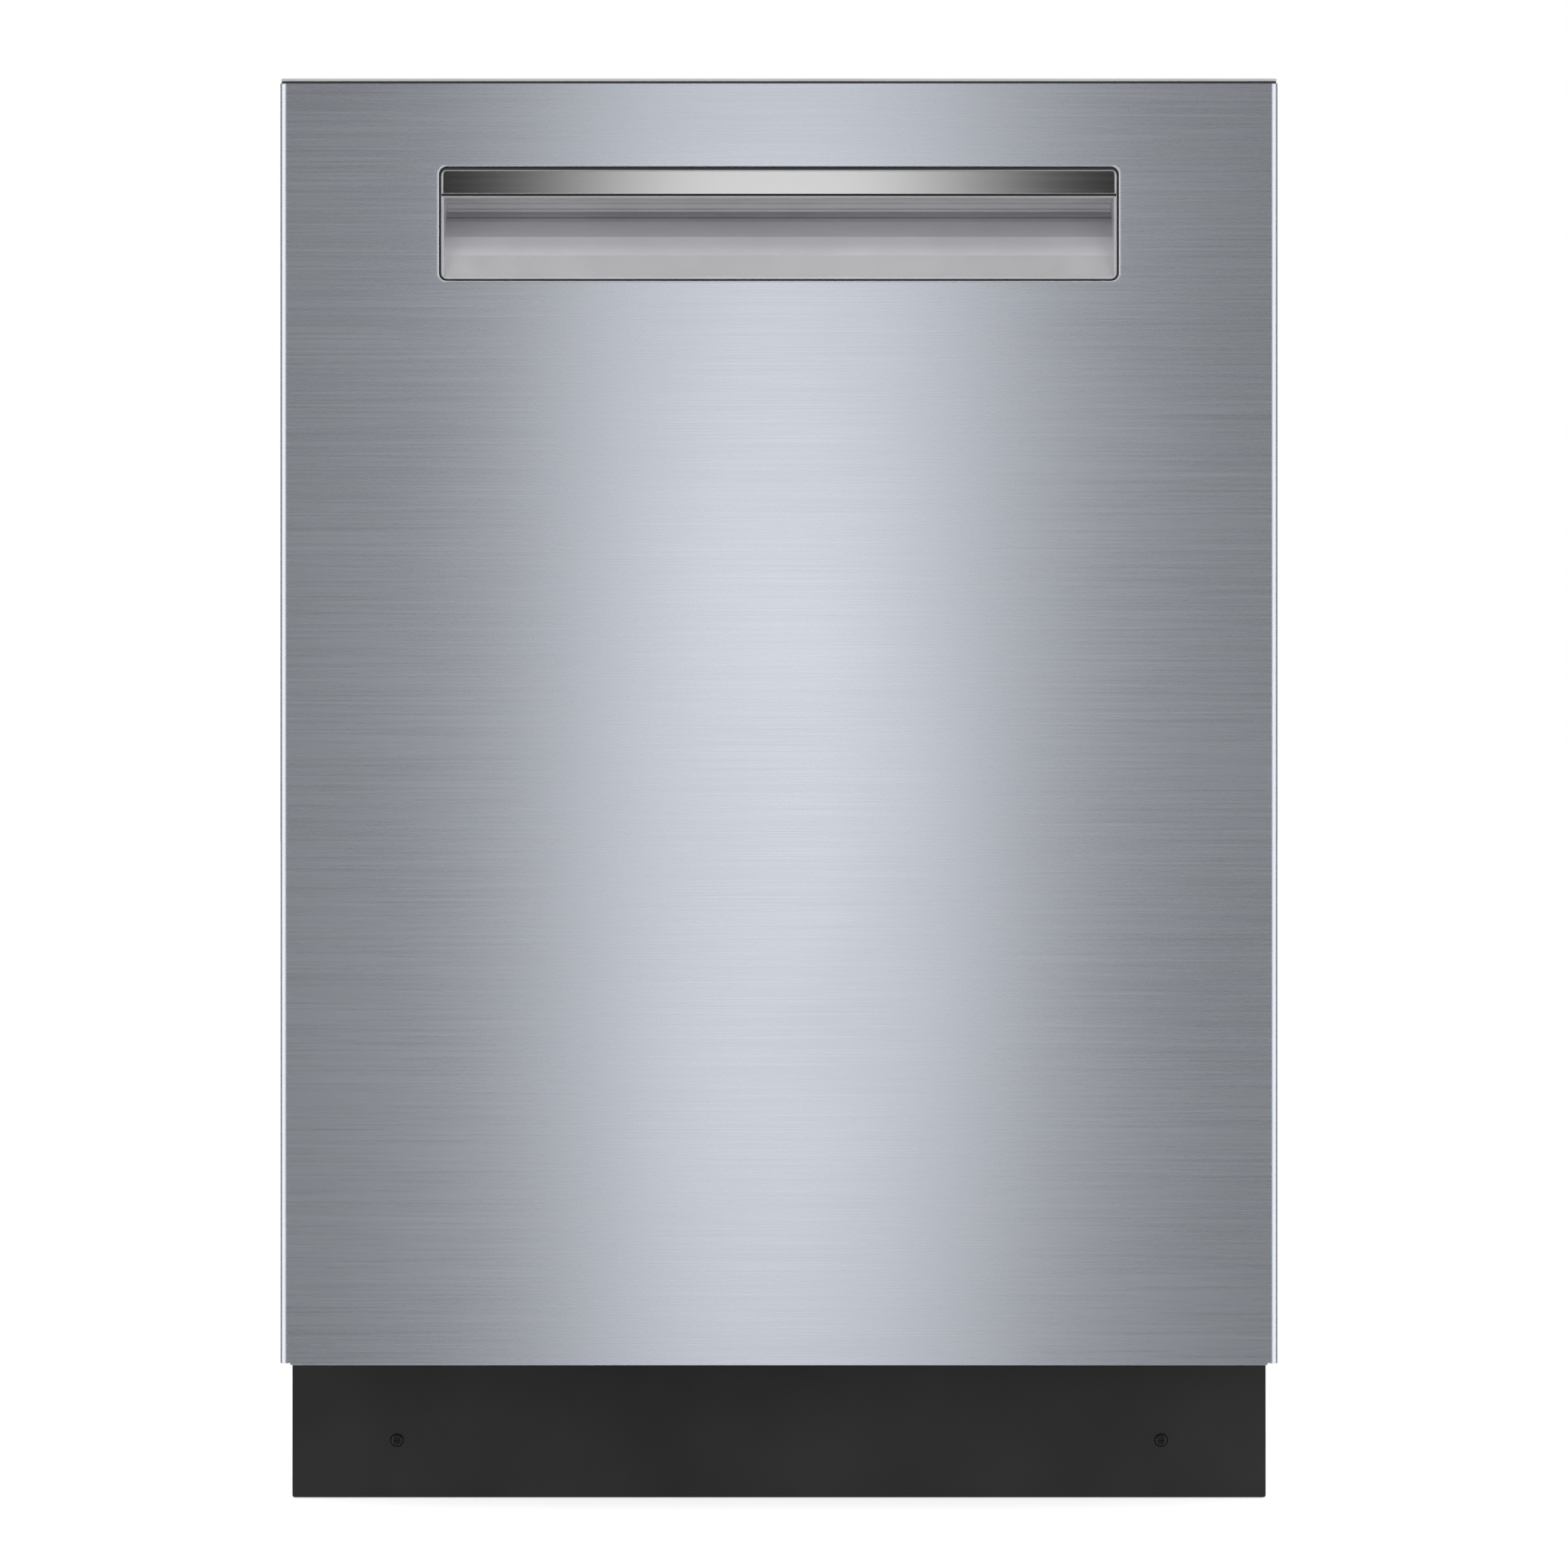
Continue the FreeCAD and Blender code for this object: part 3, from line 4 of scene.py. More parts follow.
import bmesh
import bpy
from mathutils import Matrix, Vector


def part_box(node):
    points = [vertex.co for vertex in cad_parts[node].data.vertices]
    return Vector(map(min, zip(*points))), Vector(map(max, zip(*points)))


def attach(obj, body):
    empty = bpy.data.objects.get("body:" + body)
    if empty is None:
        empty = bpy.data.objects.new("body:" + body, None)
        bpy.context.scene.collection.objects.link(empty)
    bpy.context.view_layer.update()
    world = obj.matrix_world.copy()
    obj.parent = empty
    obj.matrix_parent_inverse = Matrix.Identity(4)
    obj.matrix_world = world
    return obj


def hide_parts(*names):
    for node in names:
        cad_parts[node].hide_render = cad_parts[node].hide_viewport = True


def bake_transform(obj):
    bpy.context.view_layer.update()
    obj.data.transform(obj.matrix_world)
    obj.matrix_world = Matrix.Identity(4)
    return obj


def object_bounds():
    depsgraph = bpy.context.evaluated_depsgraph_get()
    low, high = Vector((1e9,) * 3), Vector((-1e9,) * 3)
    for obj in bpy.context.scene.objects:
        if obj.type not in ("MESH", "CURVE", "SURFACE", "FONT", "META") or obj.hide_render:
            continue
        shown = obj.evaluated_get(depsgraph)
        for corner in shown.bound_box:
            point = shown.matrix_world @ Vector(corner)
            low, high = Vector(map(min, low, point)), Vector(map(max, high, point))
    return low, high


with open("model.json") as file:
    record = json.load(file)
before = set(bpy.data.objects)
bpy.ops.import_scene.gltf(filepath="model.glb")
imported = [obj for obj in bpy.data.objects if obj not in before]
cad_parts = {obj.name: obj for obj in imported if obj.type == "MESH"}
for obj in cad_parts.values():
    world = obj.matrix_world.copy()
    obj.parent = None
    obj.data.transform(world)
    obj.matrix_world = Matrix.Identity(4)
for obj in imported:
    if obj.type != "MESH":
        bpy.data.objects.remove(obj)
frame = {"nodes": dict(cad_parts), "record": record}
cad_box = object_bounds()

# The machine's frame is the CAD's: metres, origin on the floor under the middle, +Y to the back.

# ------------------------------------------------------------------ materials


EDGE = 0.0006
FINE_RELIEF, MEDIUM_RELIEF, COARSE_RELIEF = 0.00005, 0.00008, 0.0006


class Shader:
    """A node material built up in a few words."""

    def __init__(self, name):
        self.material = bpy.data.materials.new(name)
        self.material.use_nodes = True
        self.tree = self.material.node_tree
        self.tree.nodes.clear()
        self.output = self.add("ShaderNodeOutputMaterial")
        self.shader = self.add("ShaderNodeBsdfPrincipled")
        self.join(self.shader.outputs["BSDF"], self.output.inputs["Surface"])
        self.coordinates = self.add("ShaderNodeTexCoord").outputs["Object"]

    def add(self, kind):
        return self.tree.nodes.new(kind)

    def join(self, source, target):
        self.tree.links.new(source, target)

    def texture(self, kind, scale, stretch):
        """A texture over the object's own coordinates, squeezed along each axis by stretch."""
        mapping = self.add("ShaderNodeMapping")
        mapping.inputs["Scale"].default_value = stretch
        self.join(self.coordinates, mapping.inputs["Vector"])
        texture = self.add(kind)
        texture.inputs["Scale"].default_value = scale
        self.join(mapping.outputs["Vector"], texture.inputs["Vector"])
        return texture

    def noise(self, scale, detail=3.0, stretch=(1, 1, 1), distortion=0.0):
        texture = self.texture("ShaderNodeTexNoise", scale, stretch)
        texture.inputs["Detail"].default_value = detail
        texture.inputs["Distortion"].default_value = distortion
        return texture.outputs["Fac"]

    def cells(self, scale, randomness=1.0):
        """Distance to the nearest of a cloud of points, or of a square grid at randomness 0."""
        texture = self.texture("ShaderNodeTexVoronoi", scale, (1, 1, 1))
        texture.inputs["Randomness"].default_value = randomness
        return texture.outputs["Distance"]

    def between(self, value, low, high, source=(0.3, 0.7)):
        """The value stretched to run from low to high."""
        node = self.add("ShaderNodeMapRange")
        node.inputs["From Min"].default_value = source[0]
        node.inputs["From Max"].default_value = source[1]
        node.inputs["To Min"].default_value = low
        node.inputs["To Max"].default_value = high
        self.join(value, node.inputs["Value"])
        return node.outputs["Result"]

    def mix(self, factor, first, second):
        """Two colours, or a colour socket and a colour, mixed by a factor."""
        node = self.add("ShaderNodeMix")
        node.data_type = "RGBA"
        self.join(factor, node.inputs["Factor"])
        for socket, colour in ((node.inputs[6], first), (node.inputs[7], second)):
            if isinstance(colour, bpy.types.NodeSocket):
                self.join(colour, socket)
            else:
                socket.default_value = (*colour, 1)
        return node.outputs[2]

    def maths(self, kind, first, second):
        node = self.add("ShaderNodeMath")
        node.operation = kind
        for socket, value in zip(node.inputs, (first, second)):
            if isinstance(value, bpy.types.NodeSocket):
                self.join(value, socket)
            else:
                socket.default_value = value
        return node.outputs[0]

    def edges(self, radius):
        """How far a rounded normal turns from the flat one: near 1 on an edge, 0 on a face."""
        bevel = self.add("ShaderNodeBevel")
        bevel.samples = 4
        bevel.inputs["Radius"].default_value = radius
        flat = self.add("ShaderNodeNewGeometry").outputs["Normal"]
        dot = self.add("ShaderNodeVectorMath")
        dot.operation = "DOT_PRODUCT"
        self.join(bevel.outputs["Normal"], dot.inputs[0])
        self.join(flat, dot.inputs[1])
        return bevel.outputs["Normal"], self.between(dot.outputs["Value"], 1, 0, (0.8, 1))

    def bump(self, height, strength, distance, normal=None):
        node = self.add("ShaderNodeBump")
        node.inputs["Strength"].default_value = strength
        node.inputs["Distance"].default_value = distance
        self.join(height, node.inputs["Height"])
        if normal is not None:
            self.join(normal, node.inputs["Normal"])
        self.join(node.outputs["Normal"], self.shader.inputs["Normal"])

    def shades(self, value, colour, dark, pale, source=(0.3, 0.7)):
        """A colour that goes from its dark shade to its pale one with the value."""
        return self.mix(self.between(value, 0, 1, source), scaled(colour, dark), scaled(colour, pale))

    def worn_and_highlit(self, tone, mask, share, pale):
        """The tone, paler by a share along the edges: partly edge wear, partly a painted highlight."""
        return self.mix(self.maths("MULTIPLY", mask, share), tone, pale)

    def finish(self, tone, rough=None, **sockets):
        """The material with its colour, its roughness and the values that are the same all over it."""
        self.join(tone, self.shader.inputs["Base Color"])
        if rough is not None:
            self.join(rough, self.shader.inputs["Roughness"])
        for name, value in sockets.items():
            self.shader.inputs[name.replace("_", " ")].default_value = value
        return self.material


def scaled(colour, factor):
    return tuple(min(1.0, channel * factor) for channel in colour)


def lifted(colour, amount):
    return tuple(channel + amount for channel in colour)


def brushed(name, colour, rough, along="x", streak=0.10, metallic=1.0, edge=EDGE, bands=0.35, relief=0.10):
    """Brushed metal: long fine streaks along one axis, in tone, roughness and relief."""
    s = Shader(name)

    def streaks(scale, detail, length, width, share):
        stretch = tuple(length if axis == along else width for axis in "xyz")
        return s.maths("MULTIPLY", s.noise(scale, detail, stretch), share)

    total = s.maths("ADD", streaks(9, 4, 1.2, 260, 1 - bands), streaks(6, 3, 0.6, 40, bands))
    normal, mask = s.edges(edge)
    # Paler edges: edge wear and a painted highlight.
    tone = s.worn_and_highlit(s.shades(total, colour, 1 - streak, 1 + streak), mask, 0.35, scaled(colour, 1.15))
    smudge = s.between(s.noise(5.0, 2), rough - 0.012, rough + 0.016)
    s.bump(total, relief, 0.00004, normal)
    return s.finish(tone, s.maths("ADD", s.between(total, -0.03, 0.03), smudge), Metallic=metallic)


def moulded(name, colour, rough=0.5, grain=1500, relief=0.12, wear_and_highlight_share=0.25, coat=0.0, metallic=0.0):
    """Moulded plastic: fine spark-eroded grain, slight tone drift and paler edges, partly rubbing wear and
    partly a painted highlight.
    """
    s = Shader(name)
    grains = s.noise(grain, 2)
    normal, mask = s.edges(EDGE)
    tone = s.shades(s.noise(14, 3), colour, 0.94, 1.05)
    tone = s.mix(s.between(grains, 0, 0.25), tone, scaled(colour, 0.8))
    tone = s.worn_and_highlit(tone, mask, wear_and_highlight_share, tuple(channel + (1 - channel) * 0.18 for channel in colour))
    s.bump(grains, relief, 0.00006, normal)
    return s.finish(tone, s.between(s.noise(60, 3), rough - 0.05, rough + 0.06),
                    Metallic=metallic, Coat_Weight=coat, Coat_Roughness=0.15)


def painted(name, colour, rough=0.5, level=0.5):
    """Powder-coated steel: orange-peel relief and a little dust."""
    s = Shader(name)
    dust = s.noise(9, 4)
    normal, mask = s.edges(0.0008)
    tone = s.mix(s.between(dust, 0, 1), scaled(colour, 0.9), lifted(colour, 0.006))
    s.bump(s.cells(900), 0.25, MEDIUM_RELIEF, normal)
    # Paler edges: edge wear and a painted highlight.
    return s.finish(s.worn_and_highlit(tone, mask, 0.4, lifted(colour, 0.05)),
                    s.between(dust, rough - 0.04, rough + 0.08), Specular_IOR_Level=level)


def felt(name, colour):
    """Needled felt: tangled fibres in tone and relief."""
    s = Shader(name)
    fibres = s.noise(700, 6, distortion=2.0)
    clumps = s.noise(35, 5)
    mixed = s.maths("ADD", s.maths("MULTIPLY", fibres, 0.7), s.maths("MULTIPLY", clumps, 0.3))
    s.bump(mixed, 0.8, COARSE_RELIEF)
    return s.finish(s.shades(mixed, colour, 0.6, 1.5), s.between(clumps, 0.85, 1.0),
                    Sheen_Weight=0.35, Sheen_Roughness=0.5)


def rubber(name, colour):
    """Soft rubber: matt, with a fine bloom."""
    s = Shader(name)
    bloom = s.noise(30, 4)
    normal, mask = s.edges(0.0007)
    # Paler edges: edge wear and a painted highlight.
    tone = s.worn_and_highlit(s.shades(bloom, colour, 0.85, 1.25), mask, 0.3, lifted(colour, 0.04))
    s.bump(s.noise(1100, 2), 0.15, MEDIUM_RELIEF, normal)
    return s.finish(tone, s.between(bloom, 0.55, 0.75))


def galvanised(name, colour):
    """Zinc-plated steel: faint spangle and soft scratches."""
    s = Shader(name)
    scratch = s.noise(40, 4, (1, 12, 12))
    normal, mask = s.edges(0.0005)
    # Paler edges: edge wear and a painted highlight.
    tone = s.worn_and_highlit(s.shades(s.cells(55), colour, 0.9, 1.08, (0.1, 0.6)), mask, 0.3, scaled(colour, 1.2))
    s.bump(scratch, 0.12, FINE_RELIEF, normal)
    return s.finish(tone, s.between(scratch, 0.26, 0.44), Metallic=1.0)


def perforated(name, colour):
    """Stainless sheet with a close grid of small holes, painted near black as painted shade."""
    s = Shader(name)
    holes = s.between(s.cells(420, 0.0), 0, 1, (0.26, 0.34))
    scratch = s.noise(60, 3, (1, 8, 1))
    normal, mask = s.edges(0.0005)
    # Paler edges: edge wear and a painted highlight.
    tone = s.mix(mask, s.shades(scratch, colour, 0.94, 1.06), scaled(colour, 1.15))
    s.bump(holes, 0.5, 0.0002, normal)
    # Near black in the holes: painted shade inside the openings.
    return s.finish(s.mix(holes, (0.01, 0.01, 0.01), tone), s.between(scratch, 0.26, 0.38), Metallic=1.0)


def glass_panel(name):
    """Dark gloss window with a faint dust film."""
    s = Shader(name)
    dust = s.noise(160, 4)
    tone = s.mix(s.between(dust, 0, 1), (0.006, 0.006, 0.008), (0.014, 0.014, 0.017))
    return s.finish(tone, s.between(dust, 0.05, 0.14), Coat_Weight=0.5)


STEEL = (0.82, 0.858, 0.943)
materials = {
    "steel_door": brushed("door_steel", STEEL, 0.275, "x", 0.018, 0.88, bands=0.12, relief=0.018),
    "steel_sheet": brushed("tub_steel", (0.66, 0.67, 0.69), 0.30, "z", 0.06),
    "grip_metal": brushed("grip_satin_metal", (0.74, 0.74, 0.75), 0.10, "x", 0.02, edge=0.0012, relief=0.03),
    "pocket_plastic": moulded("pocket_grey", (0.69, 0.69, 0.715), 0.38, 1300, metallic=0.58),
    "fascia_plastic": moulded("fascia_grey", (0.52, 0.525, 0.53), 0.40, 1400),
    "dark_plastic": moulded("base_black", (0.018, 0.018, 0.02), 0.55, 900, wear_and_highlight_share=0.15),
    "grey_plastic": moulded("rack_grey_plastic", (0.20, 0.21, 0.225), 0.38, 1200),
    "light_plastic": moulded("light_plastic", (0.58, 0.59, 0.60), 0.30, 1500, 0.06, coat=0.1),
    "board": moulded("board_green", (0.01, 0.09, 0.04), 0.35, 500),
    "display": glass_panel("display_glass"),
    "seal_rubber": rubber("seal_rubber", (0.02, 0.02, 0.022)),
    "felt": felt("blanket_felt", (0.10, 0.10, 0.105)),
    "bitumen": rubber("bitumen_pad", (0.012, 0.012, 0.012)),
    "kick_black": painted("kick_black", (0.016, 0.016, 0.016), 0.55, 0.35),
    # Light, half-metallic satin for the bar's rim: a painted highlight along the bar's edge.
    "highlight_rim_metal": brushed("highlight_rim_satin_metal", (0.60, 0.60, 0.61), 0.35, "x", 0.02, 0.6, edge=0.0004,
                         relief=0.03),
    "black_screw": painted("black_screw", (0.006, 0.006, 0.006), 0.22),
    "filter_steel": perforated("filter_steel", (0.60, 0.61, 0.62)),
    "zinc_steel": galvanised("zinc_steel", (0.62, 0.62, 0.60)),
    "coated_wire": moulded("nylon_coated_wire", (0.27, 0.285, 0.31), 0.32, 2500, 0.05, coat=0.2),
    "pump_plastic": moulded("pump_plastic", (0.05, 0.05, 0.055), 0.45),
}

finish_of = {"toe_kick_screws": "black_screw", "filter_plate": "filter_steel"}
slot_of = {part["node"]: part["material_slot"] for part in frame["record"]["subparts"]}
for name, node in frame["nodes"].items():
    finish = materials[finish_of.get(name, slot_of[name])]
    if not node.material_slots:
        node.data.materials.append(finish)
    for slot in node.material_slots:
        slot.material = finish

# ------------------------------------------------------------------ building pieces

MM = 0.001


def linked(name, data):
    item = bpy.data.objects.new(name, data)
    bpy.context.scene.collection.objects.link(item)
    return item


def piece(name, data, slot, body, *replaced, smooth=True, finish=None, soft=None, rounds=2):
    """A new object of the scene: its mesh or curve, its material slot, its body and what it stands for."""
    if isinstance(data, Shape):
        data = data.mesh(name)
    item = linked(name, data)
    data.materials.append(materials[finish or slot])
    if smooth and isinstance(data, bpy.types.Mesh):
        data.shade_smooth()
    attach(item, body)
    if replaced:
        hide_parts(*replaced)
    if soft:
        modify(item, "BEVEL", width=soft, segments=rounds, limit_method="ANGLE",
               angle_limit=radians(40), harden_normals=True)
    return item


def modify(item, kind, **settings):
    modifier = item.modifiers.new(kind.title(), kind)
    for key, value in settings.items():
        setattr(modifier, key, value)
    return modifier


def thicken(item, thickness, offset=-1.0):
    modify(item, "SOLIDIFY", thickness=thickness, offset=offset, use_even_offset=True)


def mesh_from(name, points, faces):
    mesh = bpy.data.meshes.new(name)
    mesh.from_pydata([tuple(point) for point in points], [], faces)
    mesh.validate()
    return mesh


class Shape:
    """Collects closed blocks, prisms and lathed forms into one mesh."""

    def __init__(self):
        self.points = []
        self.faces = []

    def add(self, points, faces):
        start = len(self.points)
        self.points += [Vector(point) for point in points]
        self.faces += [tuple(start + i for i in face) for face in faces]

    def block(self, low, high):
        (x0, y0, z0), (x1, y1, z1) = low, high
        corners = [(x, y, z) for x in (x0, x1) for y in (y0, y1) for z in (z0, z1)]
        self.add(corners, [(0, 1, 3, 2), (4, 6, 7, 5), (0, 4, 5, 1), (2, 3, 7, 6), (0, 2, 6, 4),
                           (1, 5, 7, 3)])

    def prism(self, outline, place, start, end):
        """A flat outline pushed from start to end: place(u, v, w) gives the point."""
        count = len(outline)
        points = [place(u, v, w) for w in (start, end) for u, v in outline]
        sides = [(i, (i + 1) % count, count + (i + 1) % count, count + i) for i in range(count)]
        self.add(points, [tuple(range(count))[::-1], tuple(range(count, 2 * count))] + sides)

    def lathe(self, profile, place, count=32, close=True):
        """A (radius, height) profile turned about an axis: place(a, b, height) gives the point."""
        turns = [2 * pi * i / count for i in range(count)]
        self.loft([[place(radius * cos(turn), radius * sin(turn), height) for turn in turns]
                   for radius, height in profile], close, close)

    def ring(self, inner, outer, low, high, place, count):
        """A plain ring about an axis, with a square section."""
        self.lathe([(inner, low), (outer, low), (outer, high), (inner, high), (inner, low)], place, count,
                   close=False)

    def loft(self, loops, cap_first=True, cap_last=True):
        """Skin over a row of loops with the same number of points."""
        count = len(loops[0])
        faces = []
        for k in range(len(loops) - 1):
            for i in range(count):
                j = (i + 1) % count
                faces.append((k * count + i, k * count + j, (k + 1) * count + j, (k + 1) * count + i))
        if cap_first:
            faces.append(tuple(range(count))[::-1])
        if cap_last:
            faces.append(tuple(range((len(loops) - 1) * count, len(loops) * count)))
        self.add([point for loop in loops for point in loop], faces)

    def mesh(self, name, merge=0.0):
        mesh = mesh_from(name, self.points, self.faces)
        edit = bmesh.new()
        edit.from_mesh(mesh)
        if merge:
            bmesh.ops.remove_doubles(edit, verts=edit.verts, dist=merge)
        bmesh.ops.recalc_face_normals(edit, faces=edit.faces)
        edit.to_mesh(mesh)
        edit.free()
        return mesh


def rounded(points, bend, steps=6, closed=False):
    """A route with an arc of the given radius at each corner."""
    corners = [Vector(point) for point in points]
    count = len(corners)
    route = []
    for i, corner in enumerate(corners):
        if not closed and i in (0, count - 1):
            route.append(corner)
            continue
        before = (corners[i - 1] - corner).normalized()
        after = (corners[(i + 1) % count] - corner).normalized()
        half_angle = before.angle(after) / 2
        centre = corner + (before + after).normalized() * (bend / sin(half_angle))
        start = corner + before * (bend / tan(half_angle)) - centre
        end = corner + after * (bend / tan(half_angle)) - centre
        for step in range(steps + 1):
            route.append(centre + start.slerp(end, step / steps).normalized() * bend)
    return route


def wires(name, routes, slot, body, *replaced, sides=3):
    """Round wires as one curve object: each route is (points, radius, closed)."""
    curve = bpy.data.curves.new(name, "CURVE")
    curve.dimensions = "3D"
    curve.bevel_depth = MM
    curve.bevel_resolution = sides
    curve.use_fill_caps = True
    for points, radius, closed in routes:
        spline = curve.splines.new("POLY")
        spline.points.add(len(points) - 1)
        for target, point in zip(spline.points, points):
            target.co = (*point, 1)
            target.radius = radius / MM
        spline.use_cyclic_u = closed
    return piece(name, curve, slot, body, *replaced)


def spread(first, last, count):
    return [first + (last - first) * i / (count - 1) for i in range(count)]


def halfway(low, high):
    return [(a + b) / 2 for a, b in zip(low, high)]


def step_between(value, low, high):
    """0 below low, 1 above high and a smooth slope between."""
    share = min(1.0, max(0.0, (value - low) / (high - low)))
    return share * share * (3 - 2 * share)


def inside_panel(u, v, u0, u1, v0, v1, slope):
    """1 inside a rectangle, falling smoothly to 0 at its border."""
    return min(step_between(u, u0, u0 + slope), step_between(-u, -u1, -u1 + slope),
               step_between(v, v0, v0 + slope), step_between(-v, -v1, -v1 + slope))


def round_off(distance, edge):
    """How far a surface with a round edge falls, at a distance from its rim."""
    return edge - sqrt(max(0.0, edge ** 2 - (edge - min(edge, distance)) ** 2))


def grid_faces(columns, rows):
    """The quads of a grid of points that runs row by row."""
    return [(a, a + 1, a + columns + 1, a + columns)
            for j in range(rows - 1) for a in range(j * columns, (j + 1) * columns - 1)]


def grid_border(columns, rows):
    """The points round the rim of such a grid, in order."""
    last = (rows - 1) * columns
    return (list(range(columns)) + [j * columns + columns - 1 for j in range(1, rows)]
            + [last + i for i in range(columns - 2, -1, -1)] + [j * columns for j in range(rows - 2, 0, -1)])


def quarter(start, steps):
    """Cosine and sine along a quarter turn that starts at an angle in degrees."""
    return [(cos(radians(angle)), sin(radians(angle)))
            for angle in spread(start, start + 90, steps + 1)]


def rounded_rectangle(half, z0, z1, radius, y, steps=8):
    """A loop round an upright opening, centred on x = 0."""
    corners = [(half - radius, z0 + radius, -90), (half - radius, z1 - radius, 0),
               (radius - half, z1 - radius, 90), (radius - half, z0 + radius, 180)]
    return [(x + radius * c, y, z + radius * s) for x, z, start in corners for c, s in quarter(start, steps)]


def arch(half, bottom, top, radius, steps=10):
    """Path up the right side, across the top and down the left, as (x, z, out_x, out_z)."""
    path = [(half, bottom, 1.0, 0.0)]
    for sign, start in ((1, 0), (-1, 90)):
        path += [(sign * (half - radius) + radius * c, top - radius + radius * s, c, s)
                 for c, s in quarter(start, steps)]
    return path + [(-half, bottom, -1.0, 0.0)]


def sweep_arch(shape, profile, path):
    """A closed (outward, y) profile carried along an arch."""
    shape.loft([[(x + out * nx, y, z + out * nz) for out, y in profile] for x, z, nx, nz in path])


# ------------------------------------------------------------------ tub and door inside

tub_low, tub_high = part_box("tub")
gasket_low, gasket_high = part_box("door_gasket")
TUB_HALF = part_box("tub_rails")[1][0]
TUB_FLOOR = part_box("tub_rails")[0][2]
TUB_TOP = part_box("feed_tube")[1][2] + 0.1 * MM
TUB_MOUTH = tub_low[1]
TUB_BACK = tub_high[1] - MM
TUB_CORNER = 14 * MM
SEAL_OUTER = gasket_high[0] + 0.6 * MM


def tub_pieces():
    """Deep-drawn stainless tub with soft corners and a hole for the sump, and its front frame."""
    back_bend = 0.03
    bend_start = TUB_BACK - back_bend
    shape = Shape()
    loops = [rounded_rectangle(TUB_HALF, TUB_FLOOR, TUB_TOP, TUB_CORNER, y)
             for y in spread(TUB_MOUTH, bend_start, 60)]
    for c, s in quarter(0, 6):
        inset = back_bend * (1 - c) * 0.5
        loops.append(rounded_rectangle(TUB_HALF - inset, TUB_FLOOR + inset * 0.1, TUB_TOP - inset,
                                       TUB_CORNER, bend_start + back_bend * s))
    shape.loft(loops, cap_first=False)
    tub = piece("tub_shell", shape, "steel_sheet", "cabinet", "tub")
    thicken(tub, 0.9 * MM, 1.0)
    sump_low, sump_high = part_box("sump_housing")
    cutter = Shape()
    cutter.block((sump_low[0] + MM, sump_low[1] + MM, TUB_FLOOR - 0.01),
                 (sump_high[0] - MM, sump_high[1] - MM, TUB_FLOOR + 0.01))
    tool = linked("sump_cutter", cutter.mesh("sump_cutter"))
    modify(tub, "BOOLEAN", object=tool, operation="DIFFERENCE", solver="EXACT")
    mesh = baked(tub)
    tub.modifiers.clear()
    tub.data = mesh
    bpy.data.objects.remove(tool)
    seal_floor = gasket_high[1]
    outer = SEAL_OUTER - TUB_HALF
    reach = tub_high[0] - TUB_HALF
    profile = [(MM, seal_floor), (outer, seal_floor), (outer, TUB_MOUTH), (reach, TUB_MOUTH),
               (reach, TUB_MOUTH + MM), (outer + MM, TUB_MOUTH + MM), (outer + MM, seal_floor + MM),
               (MM, seal_floor + MM)]
    top_reach = tub_high[2] - TUB_TOP
    flange = Shape()
    sweep_arch(flange, [(min(out, top_reach), y) for out, y in profile],
               arch(TUB_HALF, TUB_FLOOR, TUB_TOP, TUB_CORNER))
    piece("tub_front_frame", flange, "steel_sheet", "cabinet", soft=0.4 * MM)


def baked(item):
    """The smooth mesh of an object with its modifiers, or of a curve."""
    mesh = bpy.data.meshes.new_from_object(item.evaluated_get(bpy.context.evaluated_depsgraph_get()))
    mesh.shade_smooth()
    return mesh


def gasket():
    """Bulb seal with a clip foot, in the channel round the tub's mouth."""
    width = 9.4 * MM
    bulb = 4 * MM
    front, back = gasket_low[1], gasket_high[1]
    middle = gasket_high[0] - TUB_HALF - width / 2
    profile = [(middle + width * 0.5 * cos(radians(angle)),
                front + bulb - bulb * sin(radians(angle))) for angle in range(180, -1, -20)]
    profile += [(middle + width * 0.36, back - 3 * MM), (middle + width * 0.48, back - 0.1 * MM),
                (middle - width * 0.48, back - 0.1 * MM), (middle - width * 0.36, back - 3 * MM)]
    shape = Shape()
    sweep_arch(shape, profile, arch(TUB_HALF, TUB_FLOOR, TUB_TOP, TUB_CORNER))
    piece("bulb_seal", shape, "seal_rubber", "cabinet", "door_gasket")


